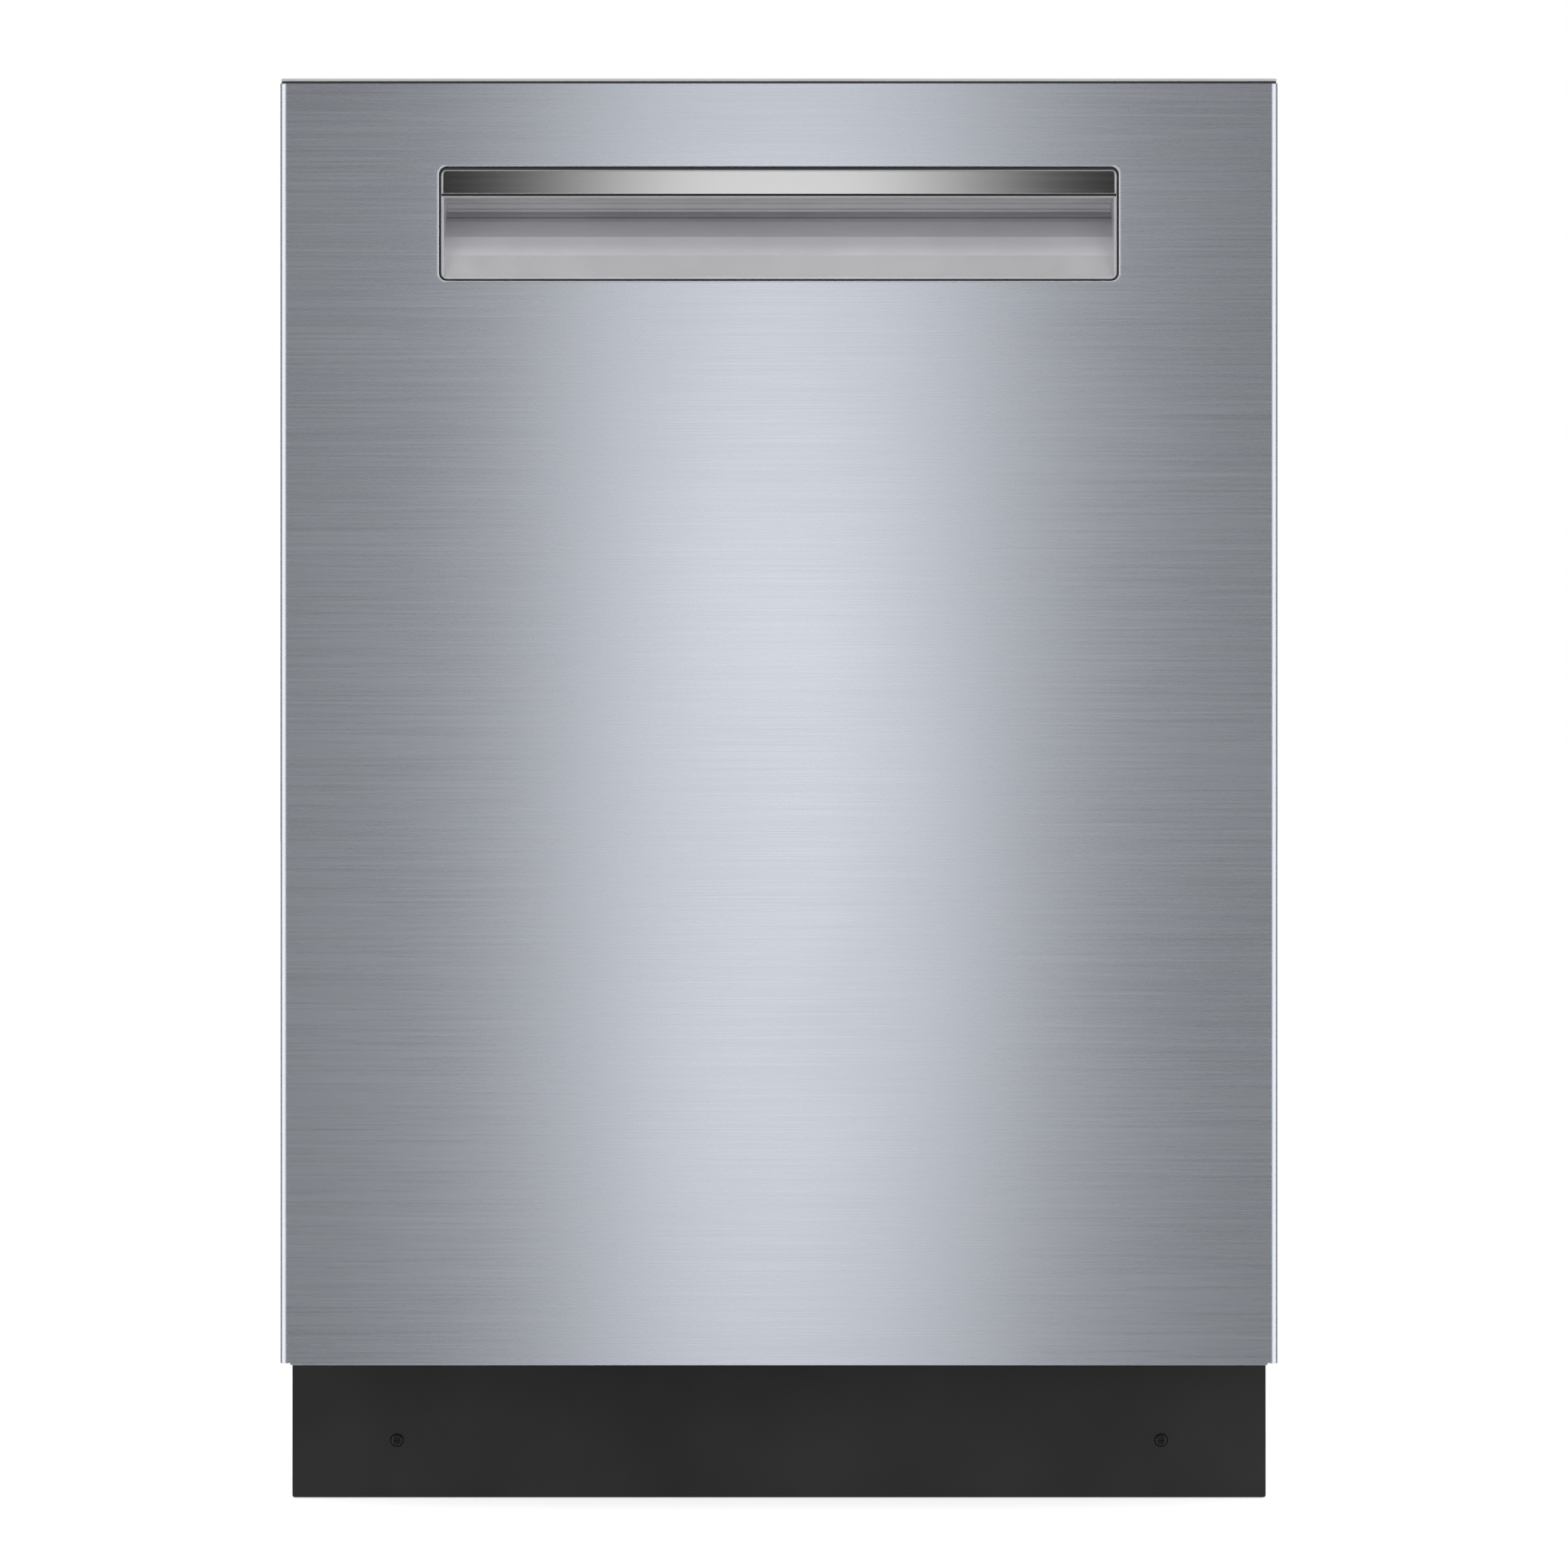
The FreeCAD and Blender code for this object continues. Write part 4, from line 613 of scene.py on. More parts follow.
def liner():
    """Inner door sheet with pressed panels, a window for the dispenser and folded flanges."""
    low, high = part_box("door_inner_liner")
    dispenser_low, dispenser_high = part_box("detergent_dispenser")
    face, flange = high[1], low[1]
    frame_half, panel_half, rib_half = 0.258, 0.215, 0.014
    edge = 7 * MM
    lap = 4 * MM
    x0, x1 = dispenser_low[0] + lap, dispenser_high[0] - lap
    z0, z1 = dispenser_low[2] + lap, dispenser_high[2] - lap
    columns = sorted(set(spread(low[0], high[0], 116)) | {x0, x1})
    rows = sorted(set(spread(low[2], high[2], 142)) | {z0, z1})
    width = len(columns)

    def depth(x, z):
        raised = inside_panel(x, z, -frame_half, frame_half, low[2] + 0.024, high[2] - 0.016, 0.007)
        upper = inside_panel(x, z, -panel_half, panel_half, dispenser_high[2] + 0.035, high[2] - 0.07, 0.009)
        lower = inside_panel(x, z, -panel_half, panel_half, low[2] + 0.055, dispenser_low[2] - 0.03, 0.009)
        ribs = sum(inside_panel(x, z, centre - rib_half, centre + rib_half, dispenser_high[2] + 0.07,
                                high[2] - 0.11, 0.008) for centre in (-0.11, 0.0, 0.11))
        fall = round_off(min(x - low[0], high[0] - x, z - low[2], high[2] - z), edge)
        return face + 2 * MM * raised - 3 * MM * max(upper, lower) + 1.6 * MM * ribs - fall

    def in_window(corner):
        row, column = divmod(corner, width)
        return (x0 < (columns[column] + columns[column + 1]) / 2 < x1
                and z0 < (rows[row] + rows[row + 1]) / 2 < z1)

    points = [(x, depth(x, z), z) for z in rows for x in columns]
    faces = [face for face in grid_faces(width, len(rows)) if not in_window(face[0])]
    border = grid_border(width, len(rows))
    base = len(points)
    points += [(points[i][0], flange, points[i][2]) for i in border]
    for k in range(len(border)):
        after = (k + 1) % len(border)
        faces.append((border[k], border[after], base + after, base + k))
    shape = Shape()
    shape.add(points, faces)
    sheet = piece("liner_sheet", shape, "steel_sheet", "door", "door_inner_liner")
    thicken(sheet, 0.6 * MM)
    screws = Shape()
    for side in (-1, 1):
        for z in spread(low[2] + 0.05, high[2] - 0.04, 5):
            pan_head(screws, (side * (high[0] - 0.012), face - 0.2 * MM, z), 3.4 * MM, 1.2 * MM)
    piece("liner_screws", screws, "zinc_steel", "door", soft=0.25 * MM)


def pan_head(shape, base, radius, height):
    """Screw head facing +Y: a domed rim round a six-lobed socket."""
    x, y, z = base

    def loop(rise, reach, lobe=0.0):
        points = []
        for turn in spread(0, 2 * pi, 25)[:-1]:
            out = radius * (reach + lobe * cos(6 * turn))
            points.append(Vector((x + out * cos(turn), y + height * rise, z + out * sin(turn))))
        return points

    shape.loft([loop(0.0, 1.0), loop(0.45, 1.0), loop(0.9, 0.85), loop(1.0, 0.62),
                loop(1.0, 0.42, 0.08), loop(0.3, 0.42, 0.08)])


def pocket_trim():
    """Black strips round the finger pocket and under the bar as painted shade in the gaps, a light rim on the
    bar as a painted highlight, and thin dark strips as painted shade in the pocket and under the fascia.
    """
    low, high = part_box("handle_pocket")
    bar_low, bar_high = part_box("handle_grip_bar")
    front, back = low[1] - 0.2 * MM, low[1] + 0.3 * MM
    side_gap, top_gap, bottom_gap = 0.5 * MM, 1.2 * MM, 0.3 * MM
    gap_under_bar = 1.5 * MM
    # Black ring round the pocket and black strip under the bar: painted shade standing in for the dark gaps.
    shape = Shape()
    shape.loft([rounded_rectangle(high[0] - share * side_gap, low[2] + share * bottom_gap,
                                  high[2] - share * top_gap, 3.6 * MM, y, 6)
                for share, y in ((0, back), (0, front), (1, front), (1, back), (0, back))], False, False)
    shape.block((bar_low[0], bar_low[1] + 0.6 * MM, bar_low[2] - gap_under_bar),
                (bar_high[0], bar_low[1] + 3 * MM, bar_low[2] + 0.1 * MM))
    piece("pocket_painted_shadow_gap", shape.mesh("pocket_painted_shadow_gap", 0.01 * MM), "dark_plastic", "door",
          smooth=False)
    # Light rim round the bar's top and sides: it stands for the polished edge, and its lightness is a painted
    # highlight.
    rim = Shape()
    highlight_rim_radius = 0.36 * MM
    profile = [(highlight_rim_radius * (cos(angle) - 0.9), bar_low[1] + 0.4 * MM - highlight_rim_radius * sin(angle))
               for angle in spread(0, pi, 8)]
    sweep_arch(rim, profile, arch(bar_high[0], bar_low[2] + 0.3 * MM, bar_high[2], 2.6 * MM))
    piece("grip_bar_highlight_rim", rim, "grip_metal", "door", finish="highlight_rim_metal")
    # Two thin dark strips across the pocket: painted shade standing in for the dark lines at its steps.
    steps = Shape()
    shade_line_width = 0.13 * MM
    for y, z in ((low[1] + 31.9 * MM, high[2] - 26.6 * MM), (low[1] + 39.3 * MM, high[2] - 20.9 * MM)):
        steps.block((low[0] + 2 * MM, y - 0.3 * MM, z), (high[0] - 2 * MM, y + 1.2 * MM, z + shade_line_width))
    piece("pocket_painted_shade_lines", steps, "dark_plastic", "door", smooth=False)
    panel_low, panel_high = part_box("door_outer_panel")
    # Dark strip along the door's top edge: painted shade standing in for the dark gap under the fascia.
    fascia_shadow = Shape()
    fascia_shadow.block((panel_low[0] + 1.2 * MM, panel_low[1] - 0.15 * MM, panel_high[2] - 0.3 * MM),
               (panel_high[0] - 1.2 * MM, panel_low[1] + 2 * MM, panel_high[2] + 0.9 * MM))
    piece("fascia_painted_shadow_line", fascia_shadow, "dark_plastic", "door", smooth=False)


def bottom_seal():
    """Rubber lip along the inner door's bottom edge: a foot on the liner and a lip that curls up."""
    low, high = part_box("door_bottom_seal")
    deep = high[1] - low[1]
    tall = high[2] - low[2]
    foot_back = -2.4 * MM / deep
    outline = [(foot_back, 0.0), (0.3, 0.0), (0.38, 0.12), (0.36, 0.28), (0.62, 0.40), (0.88, 0.54),
               (1.0, 0.72), (0.96, 0.90), (0.84, 0.94), (0.76, 0.76), (0.58, 0.62), (0.36, 0.56),
               (0.36, 0.90), (0.28, 1.0), (foot_back, 1.0)]
    shape = Shape()
    shape.prism(outline, lambda u, v, w: (w, low[1] + u * deep, low[2] + v * tall), low[0], high[0])
    piece("bottom_lip", shape, slot_of["door_bottom_seal"], "door", "door_bottom_seal", smooth=False,
          soft=0.25 * MM)


def door_pad():
    """Felt pad that fills the door behind its skin, stitched in rows on its back."""
    low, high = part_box("door_insulation")
    edge = 9 * MM
    pitch_x, pitch_z = (high[0] - low[0]) / 4, (high[2] - low[2]) / 4
    columns = spread(low[0], high[0], 73)
    rows = spread(low[2], high[2], 81)
    width = len(columns)
    points = []
    for sign, face in ((-1, low[1]), (1, high[1])):
        for z in rows:
            for x in columns:
                sag = round_off(min(x - low[0], high[0] - x, z - low[2], high[2] - z), edge)
                if sign > 0:
                    sag = max(sag, quilt(x - low[0], z - low[2], pitch_x, pitch_z, 5 * MM))
                points.append((x, face - sign * sag, z))
    layer = width * len(rows)
    front = grid_faces(width, len(rows))
    border = grid_border(width, len(rows))
    shape = Shape()
    shape.add(points, front + [tuple(layer + face[i] for i in (0, 3, 2, 1)) for face in front]
              + [(a, layer + a, layer + b, b) for a, b in zip(border, border[1:] + border[:1])])
    piece("door_felt", shape, "felt", "door", "door_insulation")


def ribbed_hose(shape, start, end, radius, pitch, groove, cuff):
    """A straight corrugated hose with a smooth cuff at each end."""
    start, end = Vector(start), Vector(end)
    length = (end - start).length
    along = (end - start).normalized()
    side = along.orthogonal().normalized()
    up = along.cross(side)
    profile = [(radius * 0.6, 0), (radius, 0), (radius, cuff)]
    steps = 6 * round((length - 2 * cuff) / pitch)
    for i in range(1, steps):
        dip = groove * (0.5 - 0.5 * cos(2 * pi * i / 6))
        profile.append((radius - dip, cuff + (length - 2 * cuff) * i / steps))
    profile += [(radius, length - cuff), (radius, length), (radius * 0.6, length)]
    shape.lathe(profile, lambda a, b, height: start + along * height + side * a + up * b, 28)


def hose_clamp(shape, centre, along, radius):
    """A steel band round a hose, with the housing of its screw on top."""
    centre, along, up = Vector(centre), Vector(along), Vector((0, 0, 1))
    side = up.cross(along).normalized()
    half = 3.5 * MM
    shape.ring(radius - 0.4 * MM, radius + 0.7 * MM, -half, half,
               lambda a, b, height: centre + along * height + side * a + up * b, 36)
    screw = [(3.2 * MM, -6 * MM), (3.2 * MM, 3 * MM), (4 * MM, 3 * MM), (4 * MM, 6 * MM)]
    top = centre + up * (radius + 3 * MM)
    shape.lathe(screw, lambda a, b, height: top + side * height + along * a + up * b, 12)


def hoses():
    """Wash, drain and fill hoses in the base, with their clamps."""
    low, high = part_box("internal_hoses")
    sump_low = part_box("sump_housing")[0]
    pump_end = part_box("circulation_pump")[1][0]
    drain_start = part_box("drain_pump")[1][1]
    wash_radius, drain_radius, fill_radius = 15 * MM, 9 * MM, 7 * MM
    wash_outer, drain_outer = wash_radius + 3 * MM, drain_radius + 2.4 * MM
    wash_y, wash_z = low[1] + wash_radius, low[2] + wash_radius
    drain_x, drain_z = high[0] - drain_radius, wash_z + MM
    inlet_x, inlet_z = low[0] + fill_radius, high[2] - fill_radius
    valve_front = high[1] - 39.5 * MM
    turn_y = 75 * MM
    slot = slot_of["internal_hoses"]
    ribbed = Shape()
    ribbed_hose(ribbed, (pump_end - 10 * MM, wash_y, wash_z), (sump_low[0] + 33 * MM, wash_y, wash_z),
                wash_outer, 6 * MM, 2.4 * MM, 14 * MM)
    ribbed_hose(ribbed, (drain_x, drain_start - 12 * MM, drain_z), (drain_x, high[1], drain_z),
                drain_outer, 4 * MM, 1.6 * MM, 16 * MM)
    piece("ribbed_hoses", ribbed, slot, "cabinet", "internal_hoses")
    route = rounded([(inlet_x, valve_front + 6 * MM, inlet_z), (inlet_x, turn_y, inlet_z),
                     (sump_low[0] + 2 * MM, turn_y, inlet_z)], 30 * MM, 10)
    wires("fill_hose", [(route, fill_radius, False)], slot, "cabinet", sides=6)
    clamps = Shape()
    for x in (pump_end - 4 * MM, pump_end + 34 * MM):
        hose_clamp(clamps, (x, wash_y, wash_z), (1, 0, 0), wash_outer)
    for y in (drain_start - 5 * MM, high[1] - 8 * MM):
        hose_clamp(clamps, (drain_x, y, drain_z), (0, 1, 0), drain_outer)
    hose_clamp(clamps, (inlet_x, valve_front - 8 * MM, inlet_z), (0, 1, 0), fill_radius)
    piece("hose_clamps", clamps, "zinc_steel", "cabinet", smooth=False)


# ------------------------------------------------------------------ racks

WIRE = 1.75 * MM
RIM_WIRE = 2.5 * MM
rack_low, rack_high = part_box("lower_basket")
RACK_HALF = rack_high[0] - RIM_WIRE
RACK_TAPER = 14 * MM
TINE_RADIUS = 1.6 * MM
TINE_WIRE_ENDS = (-0.165, 0.212)
TINE_SPAN = (-0.156, 0.204)
TINES_PER_ROW = 14
GRID_HALF = 0.2
CORNER_BEND = 30 * MM
CARRIER_PLACES = (-0.15, 0.0, 0.15)
CLIP_PLACE = 0.172
RAIL_SHEET = 1.4 * MM


def basket(name, node, body, slopes, rim, counts, bend, belt=None, rows=(), pin=0.0):
    """A wire basket: wires across and along, its rim, a belt of wire and rows of pins on its floor."""
    low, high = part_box(node)
    floor = low[2] + WIRE
    over = floor + 2 * WIRE
    front = (low[1] + RIM_WIRE + slopes[0], low[1] + RIM_WIRE)
    back = (high[1] - RIM_WIRE - slopes[1], high[1] - RIM_WIRE)
    floor_half = RACK_HALF - RACK_TAPER

    def loop(x, y0, y1, z, radius):
        corners = [(x, y0, z), (x, y1, z), (-x, y1, z), (-x, y0, z)]
        return rounded(corners, CORNER_BEND, 10, True), radius, True

    runs = [[(-RACK_HALF, y, rim), (-floor_half, y, floor), (floor_half, y, floor), (RACK_HALF, y, rim)]
            for y in spread(front[0] + 16 * MM, back[0] - 26 * MM, counts[0])]
    runs += [[(x, front[1], rim), (x, front[0], over), (x, back[0], over), (x, back[1], rim)]
             for x in spread(-GRID_HALF, GRID_HALF, counts[1])]
    routes = [(rounded(points, bend), WIRE, False) for points in runs]
    routes.append(loop(RACK_HALF, front[1], back[1], rim, RIM_WIRE))
    if belt:
        z = floor + belt
        share = (z - floor) / (rim - floor)
        routes.append(loop(RACK_HALF - RACK_TAPER * (1 - share) + 2 * WIRE,
                           front[0] + (front[1] - front[0]) * share - 2 * WIRE - 0.5 * MM,
                           back[0] + (back[1] - back[0]) * share + 2 * WIRE + 0.5 * MM, z, WIRE))
    row = floor + 4 * WIRE
    for x in rows:
        routes.append(([(x, end, row) for end in TINE_WIRE_ENDS], WIRE, False))
        routes += tine_routes(x, *TINE_SPAN, TINES_PER_ROW, row, pin + WIRE)
    wires(name, routes, "coated_wire", body, node)


def tine_routes(x, y0, y1, count, base, length):
    """Pins with a round tip, standing on a row wire."""
    return [([(x, y, base), (x, y, base + length * 0.5), (x, y, base + length)], TINE_RADIUS, False)
            for y in spread(y0, y1, count)]


def lower_rack():
    basket("lower_wires", "lower_basket", "lower_rack", (39 * MM, 12 * MM), rack_high[2] - RIM_WIRE,
           (9, 11), 14 * MM, 60 * MM, (-0.16, -0.08), 80 * MM)


def tine_rows():
    """Folding rows: a shaft and two groups of pins."""
    for name, x in (("tine_row_middle", 0.0), ("tine_row_right", 0.08)):
        low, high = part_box(name)
        z = low[2] + 2 * MM
        routes = [([(x, low[1], z), (x, high[1], z)], 2 * MM, False)]
        for start in (low[1] + 18 * MM, low[1] + 212 * MM):
            routes += tine_routes(x, start, start + 0.17, 7, z, high[2] - z)
        wires(name + "_wires", routes, "coated_wire", name + "_body", name)


def slide_profile(web, lip, z0, z1, thickness):
    """C rail outline as (x, z) points, open towards the middle, with a turned lip."""
    inner = web - thickness
    return [(web, z0), (web, z1), (lip, z1), (lip, z1 - 3 * thickness), (lip + thickness, z1 - 3 * thickness),
            (lip + thickness, z1 - thickness), (inner, z1 - thickness), (inner, z0 + thickness),
            (lip + thickness, z0 + thickness), (lip + thickness, z0 + 3 * thickness),
            (lip, z0 + 3 * thickness), (lip, z0)]


def rails_and_carriers(rails, carriers, body, node, reach, height, rear, half, carrier_height):
    """Slide members along both sides of a rack, and the moulded carriers that hang it on them."""
    low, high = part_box(node)
    members, brackets = Shape(), Shape()
    for side in (-1, 1):
        outline = slide_profile(high[0], high[0] - reach, *height, RAIL_SHEET)
        members.prism([(side * x, z) for x, z in outline], lambda u, v, w: (u, w, v),
                      low[1] + 0.5 * MM, high[1] - rear)
        x0, x1 = sorted((side * (RACK_HALF + 2.7 * MM), side * (high[0] - reach)))
        for y in CARRIER_PLACES:
            brackets.block((x0, y - half, carrier_height[0]), (x1, y + half, carrier_height[1]))
    piece(rails, members, "steel_sheet", body, smooth=False, soft=0.3 * MM)
    piece(carriers, brackets, "grey_plastic", body, smooth=False, soft=1.5 * MM, rounds=3)


def upper_rack():
    low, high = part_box("upper_basket")
    basket("upper_wires", "upper_basket", "upper_rack", (17 * MM, 8 * MM), low[2] + WIRE + 108.6 * MM,
           (9, 11), 14 * MM, 34 * MM, (-0.08, 0.08), 45 * MM)
    rails_and_carriers("upper_inner_slides", "upper_carriers", "upper_rack", "upper_basket", 11.5 * MM,
                       (high[2] - 21 * MM, high[2]), 2.5 * MM, 12 * MM,
                       (high[2] - 22.5 * MM, high[2] - 4.5 * MM))
    clips = Shape()
    shelf_low, shelf_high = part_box("cup_shelf_right")
    for x in (2 * MM - shelf_high[0], shelf_high[0] - 2 * MM):
        for y in (-CLIP_PLACE, CLIP_PLACE):
            clips.ring(2.2 * MM, 5 * MM, -3 * MM, 3 * MM, lambda a, b, height, x=x, y=y:
                       (x + a, y + height, shelf_low[2] + 2 * MM + b), 24)
    piece("shelf_clips", clips, "grey_plastic", "upper_rack")


def third_rack():
    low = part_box("third_basket")[0]
    basket("third_wires", "third_basket", "third_rack", (4 * MM, 4 * MM), low[2] + WIRE + 33.6 * MM,
           (15, 17), 9 * MM)
    rails_and_carriers("third_runners", "third_carriers", "third_rack", "third_basket", 10.5 * MM,
                       (low[2] + 9.25 * MM, low[2] + 32.25 * MM), 0.5 * MM, 10 * MM,
                       (low[2] + 14.75 * MM, low[2] + 28.75 * MM))


def cup_shelves():
    """Folding shelves: a pivot wire, a bent wire frame and cross wires."""
    for side, name in ((-1, "cup_shelf_left"), (1, "cup_shelf_right")):
        low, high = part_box(name)
        z = low[2] + 2 * MM
        pivot = side * (max(abs(low[0]), abs(high[0])) - 2 * MM)
        inner = side * (min(abs(low[0]), abs(high[0])) + 2 * MM)
        y0, y1 = low[1] + 20 * MM, high[1] - 20 * MM
        routes = [([(pivot, low[1], z), (pivot, high[1], z)], 2 * MM, False)]
        outline = [(pivot, y0, z), (inner, y0, z), (inner, y1, z), (pivot, y1, z)]
        routes.append((rounded(outline, 10 * MM), 2 * MM, False))
        for y in spread(y0, y1, 9)[1:-1]:
            routes.append(([(pivot, y, z), (inner, y, z)], 1.8 * MM, False))
        wires(name + "_wires", routes, "coated_wire", name + "_body", name)


def cutlery_basket():
    """Cutlery basket with slotted walls and a slotted floor."""
    (x0, y0, z0), (x1, y1, z1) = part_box("cutlery_basket")
    shape = Shape()
    wall, slat = 1.6 * MM, 2 * MM
    bar_half, band_half = 1.1 * MM, 1.6 * MM
    side_pitch, divider_pitch = 7 * MM, 7.6 * MM

    def lattice(place, length, height, pitch):
        for u in spread(0, length, max(2, round(length / pitch)) + 1):
            shape.block(*place(max(0, u - bar_half), min(length, u + bar_half), 0, height))
        for v in spread(0, height, 5):
            shape.block(*place(0, length, max(0, v - band_half), min(height, v + band_half)))

    for x in (x0, x1 - wall):
        lattice(lambda a, b, c, d, x=x: ((x, y0 + a, z0 + c), (x + wall, y0 + b, z0 + d)), y1 - y0, z1 - z0,
                side_pitch)
    for y in spread(y0, y1 - wall, 7):
        lattice(lambda a, b, c, d, y=y: ((x0 + a, y, z0 + c), (x0 + b, y + wall, z0 + d)), x1 - x0, z1 - z0,
                divider_pitch)
    for x in spread(x0, x1 - slat, 9):
        shape.block((x, y0, z0), (x + slat, y1, z0 + wall))
    piece("cutlery_lattice", shape, "grey_plastic", "lower_rack", "cutlery_basket", smooth=False)


def wheel_sets():
    """Rack wheels with a rounded tread, a stepped hub and spokes."""
    half = 4 * MM

    def barrel(inner, shoulder, outer, drop):
        return [(inner, -half), (shoulder, -half), (outer, -half + drop), (outer, half - drop),
                (shoulder, half), (inner, half), (inner, -half)]

    for place in ("front", "middle", "rear"):
        node = "wheels_" + place
        low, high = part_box(node)
        radius = (high[2] - low[2]) / 2
        _, y, z = halfway(low, high)
        shape = Shape()
        for side in (-1, 1):
            middle = side * (high[0] - half)
            centre = Vector((middle, y, z))

            def spin(a, b, height, middle=middle):
                return (middle + height, y + a, z + b)

            shape.lathe(barrel(radius - 3.4 * MM, radius - 0.8 * MM, radius, 0.9 * MM), spin, 40, close=False)
            shape.lathe(barrel(4.1 * MM, 6.6 * MM, 7.0 * MM, 0.6 * MM), spin, 32, close=False)
            for spoke in range(6):
                angle = pi * spoke / 3
                along = Vector((0, cos(angle), sin(angle)))
                across = Vector((0, -sin(angle), cos(angle)))
                shape.loft([[centre + along * reach + across * (width * a) + Vector((2.6 * MM * b, 0, 0))
                             for a, b in ((-1, -1), (1, -1), (1, 1), (-1, 1))]
                            for reach, width in ((6.4 * MM, 1.7 * MM), (10 * MM, 1.2 * MM),
                                                 (radius - 3.0 * MM, 1.6 * MM))])
        piece(node + "_pair", shape, "grey_plastic", node + "_body", node)


def spray_arms():
    """Moulded arms: swept blades with a spine, nozzles, a hub and a cap nut."""

    def sweep(t):
        return copysign(5 * MM * sin(pi * abs(t)), t)

    def thickness(t):
        return (4.2 - 1.4 * abs(t)) * MM

    hub = [(9 * MM, 0), (22 * MM, 0), (23.5 * MM, 1.5 * MM), (23.5 * MM, 7 * MM), (20 * MM, 10 * MM),
           (12 * MM, 11 * MM), (11 * MM, 12 * MM), (4 * MM, 12 * MM)]
    nozzle = [(4.5 * MM, -1.5 * MM), (4.2 * MM, 0.5 * MM), (2.6 * MM, 0.9 * MM), (1.6 * MM, 0.9 * MM),
              (1.4 * MM, -1.0 * MM)]
    crown, belly = 1.25, 0.75
    for node in ("lower_spray_arm", "upper_spray_arm"):
        low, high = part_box(node)
        reach = (high[0] - low[0]) / 2
        y = halfway(low, high)[1]
        middle = low[2] + 5.8 * MM
        shape = Shape()
        loops = []
        for t in spread(-1, 1, 41):
            chord = (20 - 5.5 * abs(t)) * MM
            if abs(t) > 0.94:
                chord *= sqrt(max(0.03, 1 - ((abs(t) - 0.94) / 0.062) ** 2))
            loops.append([Vector((t * reach, y + sweep(t) + chord * cos(angle),
                                  middle + thickness(t) * (crown if sin(angle) > 0 else belly)
                                  * sin(angle))) for angle in spread(0, 2 * pi, 21)[:-1]])
        shape.loft(loops)
        shape.lathe(hub, lambda a, b, height: (a, y + b, low[2] + height), 40)
        for t in (-0.88, -0.72, -0.55, -0.38, 0.33, 0.5, 0.68, 0.86):
            shape.lathe(nozzle, lambda a, b, height, t=t:
                        (t * reach + a, y + sweep(t) + b, middle + thickness(t) * crown + height), 20)
        piece(node + "_moulding", shape, "grey_plastic", node + "_body", node)


# ------------------------------------------------------------------ cabinet details


def springs():
    """Coil springs that balance the door: a coil held by the base, and a link to the hinge arm."""
    low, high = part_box("door_springs")
    radius = 3.6 * MM
    thread = 0.7 * MM
    turns, steps = 44, 12
    link, hook = 0.036, 0.012
    for side, name in ((-1, "left"), (1, "right")):
        x = side * (high[0] - radius)
        front = Vector((x, low[1] + 3 * MM, high[2] - 4 * MM))
        back = Vector((x, high[1], low[2] + radius))
        direction = (back - front).normalized()
        up = Vector((0, -direction.z, direction.y))
        out = Vector((1, 0, 0))
        link_end = front + direction * link
        coil_end = back - direction * hook
        route = [front + (link_end - front) * share for share in spread(0, 0.96, 16)]
        for i in range(turns * steps + 1):
            angle = 2 * pi * i / steps
            centre = link_end + (coil_end - link_end) * (i / (turns * steps))
            route.append(centre + (up * cos(angle) + out * sin(angle)) * (radius - thread))
        route += [coil_end + direction * 4 * MM, back - direction * 1 * MM]
        item = wires("balance_spring_curve", [(route, thread, False)], "zinc_steel", "cabinet", sides=1)
        mesh = baked(item)
        bpy.data.objects.remove(item)
        spring = linked("balance_spring_" + name, mesh)
        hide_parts("door_springs")
        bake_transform(spring)


def quilt(u, v, pitch_u, pitch_v, depth):
    """How far a quilted surface sinks at (u, v): deepest along the stitched rows."""
    puff = abs(sin(pi * u / pitch_u) * sin(pi * v / pitch_v)) ** 0.3
    return depth * (1 - puff)


def blanket():
    """Quilted felt: one wrap over the sides and top, and a pad lapped over the back."""
    low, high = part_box("insulation_blanket")
    half, top = high[0], high[2]
    bend = 14 * MM
    sag_depth = 4 * MM
    outline = [(half, z, 1, 0) for z in spread(low[2], top - bend, 90)]
    for centre, first in ((half - bend, 0), (-half + bend, 90)):
        outline += [(centre + bend * c, top - bend + bend * s, c, s) for c, s in quarter(first, 6)[1:-1]]
        if first == 0:
            outline += [(x, top, 0, 1) for x in spread(half - bend, -half + bend, 74)]
    outline += [(-half, z, -1, 0) for z in spread(top - bend, low[2], 90)]
    travelled = [0.0]
    for first, second in zip(outline, outline[1:]):
        travelled.append(travelled[-1] + hypot(second[0] - first[0], second[1] - first[1]))
    y0, y1 = low[1], high[1] - 5 * MM
    rings, across, upright = 84, 85, 100
    points = []
    for y in spread(y0, y1, rings):
        for place, (x, z, nx, nz) in zip(travelled, outline):
            sag = quilt(place, y - y0, travelled[-1] / 19, (y1 - y0) / 4, sag_depth)
            points.append(Vector((x - nx * sag, y, z - nz * sag)))
    shape = Shape()
    shape.add(points, grid_faces(len(outline), rings))
    wrap = piece("felt_wrap", shape, "felt", "cabinet", "insulation_blanket")
    thicken(wrap, 8 * MM)
    edge = 9 * MM
    x1, z1 = half - 2 * MM, top - 2 * MM
    points = []
    for z in spread(low[2], z1, upright):
        for x in spread(-x1, x1, across):
            sag = max(quilt(x + x1, z - low[2], 2 * x1 / 4, (top - low[2]) / 6, sag_depth),
                      round_off(min(x + x1, x1 - x, z1 - z), edge))
            points.append((x, high[1] - sag, z))
    back = Shape()
    back.add(points, grid_faces(across, upright))
    pad = piece("felt_back", back, "felt", "cabinet")
    if pad.data.polygons[0].normal.y < 0:
        pad.data.flip_normals()
    thicken(pad, 4 * MM)


